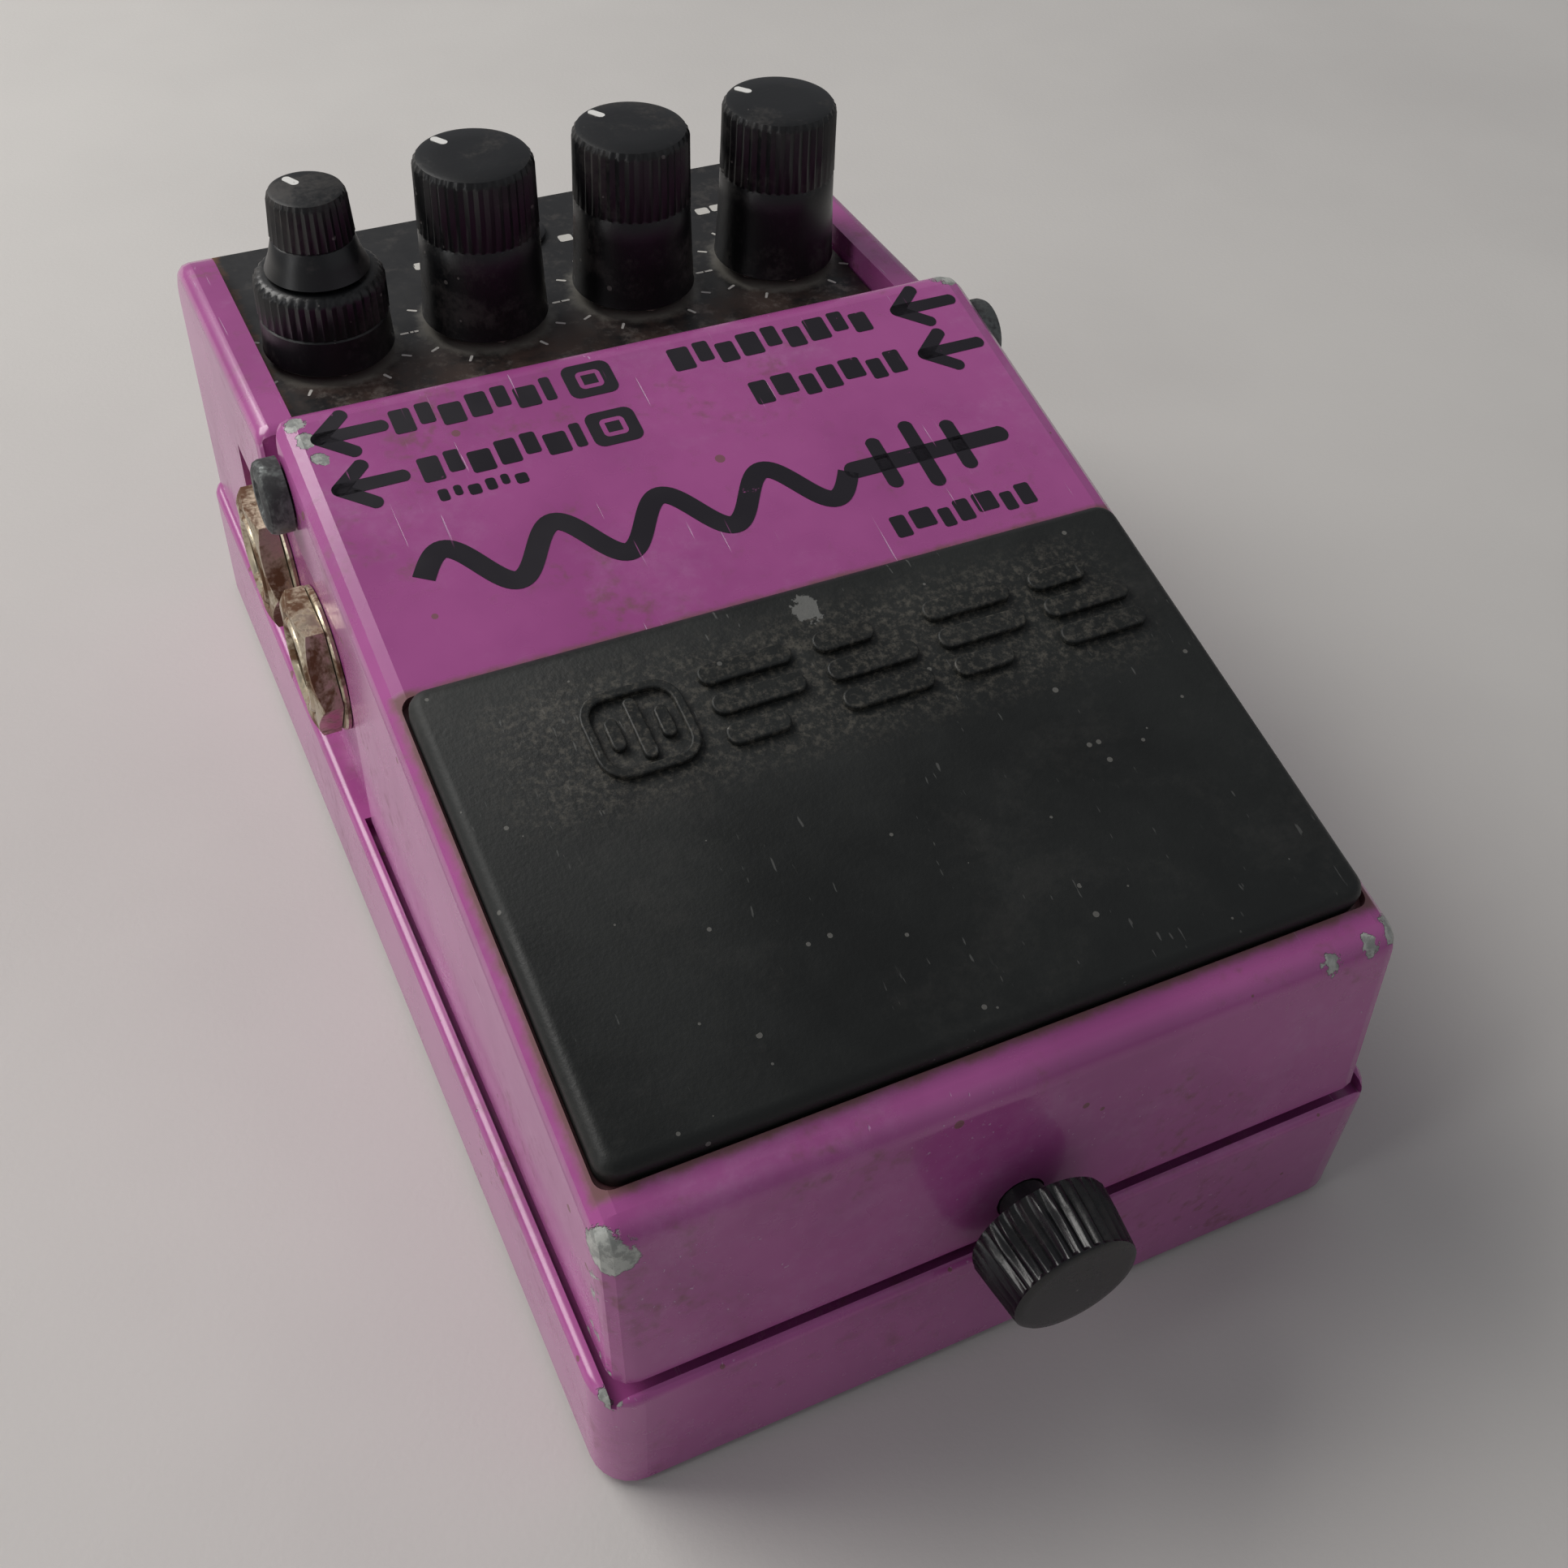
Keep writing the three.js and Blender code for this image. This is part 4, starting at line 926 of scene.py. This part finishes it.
def makeJack(node, side):
    low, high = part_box(node)
    end = max(abs(low.x), abs(high.x))
    y, z = (low.y + high.y) / 2, (low.z + high.z) / 2
    r = socket["barrel"]
    profile = [(0, socket["deep"]), (socket["bore"], socket["deep"]), (socket["bore"], end - 0.5 * mm),
               (socket["bore"] + 0.35 * mm, end - 0.1 * mm), (socket["bore"] + 0.6 * mm, end),
               (r - 0.35 * mm, end), (r - 0.05 * mm, end - 0.3 * mm)]
    x = end - 0.5 * mm
    while x > socket["threadFrom"]:
        profile += [(r, x), (r - 0.22 * mm, x - socket["pitch"] / 2)]
        x -= socket["pitch"]
    profile += [(r, x), (r, 28.4 * mm), (0, 28.4 * mm)]
    # the wall is one loop, which meets the axis at the bore's floor and at its rear end
    bm = spun(profile, 56)
    shift(bm, (side, 0, 0), (0, y, z))
    inner = min(abs(low.x), abs(high.x))
    box(bm, (side * inner, low.y, low.z), (side * 29 * mm, high.y, high.z), 0.5 * mm)
    newPiece(node + "_socket", bm, tarnishedNickel, "chassis", [node])


def makeNut(node, side, flats, bore, thick):
    # a hexagon nut with its corners turned down on the outer face
    low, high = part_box(node)
    y, z = (low.y + high.y) / 2, (low.z + high.z) / 2
    start = min(abs(low.x), abs(high.x)) if side else low.z
    half = flats / 2
    bm = spun([(bore, 0), (half, 0), (half, thick), (bore + 0.25 * mm, thick),
               (bore, thick - 0.25 * mm), (bore, 0)], 72)
    for v in bm.verts:
        r = math.hypot(v.co.x, v.co.y)
        if r < half - 0.01 * mm:
            continue
        a = (math.atan2(v.co.y, v.co.x) + math.pi / 6) % (math.pi / 3) - math.pi / 6
        hexR = half / math.cos(a)
        if v.co.z > thick / 2:
            v.co.z -= (hexR - half) * 0.55
        v.co.xy *= hexR / r
    if side:
        shift(bm, (side, 0, 0), (side * start, y, z))
    else:
        shift(bm, (0, 0, 1), ((low.x + high.x) / 2, y, start))
    finish = tarnishedNickel if side else brightNickel
    newPiece(node + "_hex", bm, finish, "chassis", [node], 25)


def makeWasher(node, side):
    low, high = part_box(node)
    y, z = (low.y + high.y) / 2, (low.z + high.z) / 2
    start = min(abs(low.x), abs(high.x))
    thick = high.x - low.x
    outer = (high.z - low.z) / 2
    inner = nut["bore"]
    bm = spun([(inner, 0), (outer, 0), (outer, thick * 0.6), (outer - 0.15 * mm, thick),
               (inner, thick), (inner, 0)], 64)
    shift(bm, (side, 0, 0), (side * start, y, z))
    newPiece(node + "_ring", bm, tarnishedNickel, "chassis", [node])


for side, word in ((-1, "output"), (1, "input")):
    for spot in ("front", "rear"):
        makeJack(f"jack_{word}_{spot}", side)
        makeNut(f"jack_nut_{word}_{spot}", side, **nut)
        makeWasher(f"jack_washer_{word}_{spot}", side)
for name in ("dual", "second", "third", "fourth"):
    makeNut("pot_nut_" + name, 0, **potNut)
print("sockets and nuts made")


# panel marks and lamp

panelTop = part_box("control_panel")[1].z
panelMarks = {"reach": 7.15 * mm, "long": 0.75 * mm, "width": 0.3 * mm, "thick": 0.03 * mm}


def makePanelPrint():
    bm = bmesh.new()
    for node in ("knob_dual_outer", "knob_second", "knob_third", "knob_fourth"):
        centre = measure(node)[2]
        for step in range(11):
            angle = math.radians(90 + 150 - 30 * step)
            way = Vector((math.cos(angle), math.sin(angle)))
            start = Vector((centre.x, centre.y)) + way * panelMarks["reach"]
            end = start + way * panelMarks["long"]
            capsule(bm, start, end, panelMarks["width"], 10)
        for bar, (x, wide) in enumerate(((-3.1, 1.5), (-1.1, 1.9), (1.2, 2.1), (3.2, 1.3))):
            lift = 11.6 + 0.15 * (bar % 2)
            roundRect(bm, (centre.x + x * mm, centre.y + lift * mm), (wide * mm, 1.3 * mm), 0.3 * mm)
    raiseAll(bm, panelTop - 0.02 * mm, panelTop + panelMarks["thick"])
    newPiece("panel_print", bm, whiteInk, "chassis")


def makeIndicator():
    low, high, centre = measure("led_lens")
    r = (high.x - low.x) / 2
    tall = high.z - low.z
    angles = [i * math.pi / 16 for i in range(8)]
    dome = [(r * math.cos(a), tall - r * 0.9 + r * 0.9 * math.sin(a)) for a in angles]
    bm = spun([(0, 0), (r, 0)] + dome + [(0, tall)], 40)
    shift(bm, (0, 0, 1), (centre.x, centre.y, low.z))
    newPiece("lamp_lens", bm, lensRed, "chassis", ["led_lens"])
    low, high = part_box("led_bezel")
    outer = (high.x - low.x) / 2
    tall = high.z - low.z
    rim = 0.75 * mm
    bm = spun([
        (r + 0.15 * mm, 0), (2.5 * mm, 0), (2.5 * mm, tall - rim), (outer, tall - rim),
        (outer, tall - 0.4 * mm), (outer - 0.3 * mm, tall - 0.1 * mm), (outer - 0.6 * mm, tall),
        (r + 0.3 * mm, tall),
        (r + 0.15 * mm, tall - 0.2 * mm), (r + 0.15 * mm, 0),
    ], 40)
    shift(bm, (0, 0, 1), (centre.x, centre.y, low.z))
    newPiece("lamp_bezel", bm, innerPlastic, "chassis", ["led_bezel"])


makePanelPrint()
makeIndicator()


# spring, base and inside

spring = {"wire": 0.6 * mm, "coil": 5.4 * mm, "turns": 5}


def makeSpring():
    low, high, centre = measure("treadle_spring")
    bm = bmesh.new()
    ring = bmesh.ops.create_circle(bm, radius=spring["wire"], segments=12)
    place = Matrix.Translation((centre.x + spring["coil"], centre.y, low.z + spring["wire"]))
    upright = place @ Matrix.Rotation(math.pi / 2, 4, "X")
    bmesh.ops.transform(bm, matrix=upright, verts=ring["verts"])
    steps = 40 * spring["turns"]
    rise = (high.z - low.z - 2 * spring["wire"]) / steps
    bmesh.ops.spin(bm, geom=list(bm.verts) + list(bm.edges), cent=centre, axis=(0, 0, 1), dvec=(0, 0, rise),
                   angle=2 * math.pi * spring["turns"], steps=steps)
    bmesh.ops.holes_fill(bm, edges=[e for e in bm.edges if e.is_boundary], sides=0)
    newPiece("return_spring", bm, zincSteel, "chassis", ["treadle_spring"])


def makeBaseScrew(node):
    # a pan head with a cross recess
    low, high, centre = measure(node)
    r = (high.x - low.x) / 2
    tall = high.z - low.z
    head = 0.7 * mm
    bm = spun([(0, 0), (r * 0.7, 0.05 * mm), (r * 0.92, 0.22 * mm), (r, 0.5 * mm), (r, head),
               (1.4 * mm, head), (1.4 * mm, tall), (0, tall)], 48)
    shift(bm, (0, 0, 1), (centre.x, centre.y, low.z))
    piece = newPiece(node + "_pan", bm, zincSteel, "chassis", [node])
    cross = bmesh.new()
    for wide, deep in ((3.0, 0.62), (0.62, 3.0)):
        box(cross, (centre.x - wide / 2 * mm, centre.y - deep / 2 * mm, low.z - mm),
            (centre.x + wide / 2 * mm, centre.y + deep / 2 * mm, low.z + 0.42 * mm))
    mesh = bpy.data.meshes.new("cross")
    cross.to_mesh(mesh)
    cross.free()
    cutter = bpy.data.objects.new("cross", mesh)
    scene.collection.objects.link(cutter)
    recess = piece.modifiers.new("recess", "BOOLEAN")
    recess.operation = "DIFFERENCE"
    recess.object = cutter
    recess.use_self = True
    bpy.context.view_layer.update()
    carved = bpy.data.meshes.new_from_object(piece.evaluated_get(bpy.context.evaluated_depsgraph_get()))
    piece.modifiers.clear()
    piece.data = carved
    bpy.data.objects.remove(cutter)


makeSpring()
for i in range(1, 5):
    makeBaseScrew(f"base_screw_{i}")
refine("bottom_plate", zincSteel, 0.1 * mm)
refine("rubber_base_sheet", baseRubber, 0.1 * mm)
refine("dc_jack", innerPlastic, 0.1 * mm)
refine("guide_bush", innerPlastic, 0.1 * mm)
refine("battery_snap", innerPlastic, 0.3 * mm)
refine("footswitch_body", innerPlastic, 0.2 * mm)
refine("footswitch_plunger", innerPlastic, 0)
refine("battery", batteryWrap, 0)
refine("main_board", boardGreen, 0.05 * mm)
refine("pot_board", boardGreen, 0.05 * mm)
refine("hinge_pin", zincSteel, 0)
refine("thumbscrew_ring", zincSteel, 0)
for name in ("dual_outer", "dual_inner", "second", "third", "fourth"):
    refine("shaft_" + name, brightNickel, 0)
for name in ("dual", "second", "third", "fourth"):
    refine("pot_" + name, zincSteel, 0.1 * mm)
print("inside and base made")


# stage

def makeFloor():
    bm = bmesh.new()
    bmesh.ops.create_grid(bm, x_segments=2, y_segments=2, size=2.5)
    mesh = bpy.data.meshes.new("floor")
    bm.to_mesh(mesh)
    bm.free()
    mesh.materials.append(floorMaterial("paleFloor"))
    floor = bpy.data.objects.new("floor", mesh)
    scene.collection.objects.link(floor)


makeFloor()
makeLights()
makeCamera()
print("stage set")
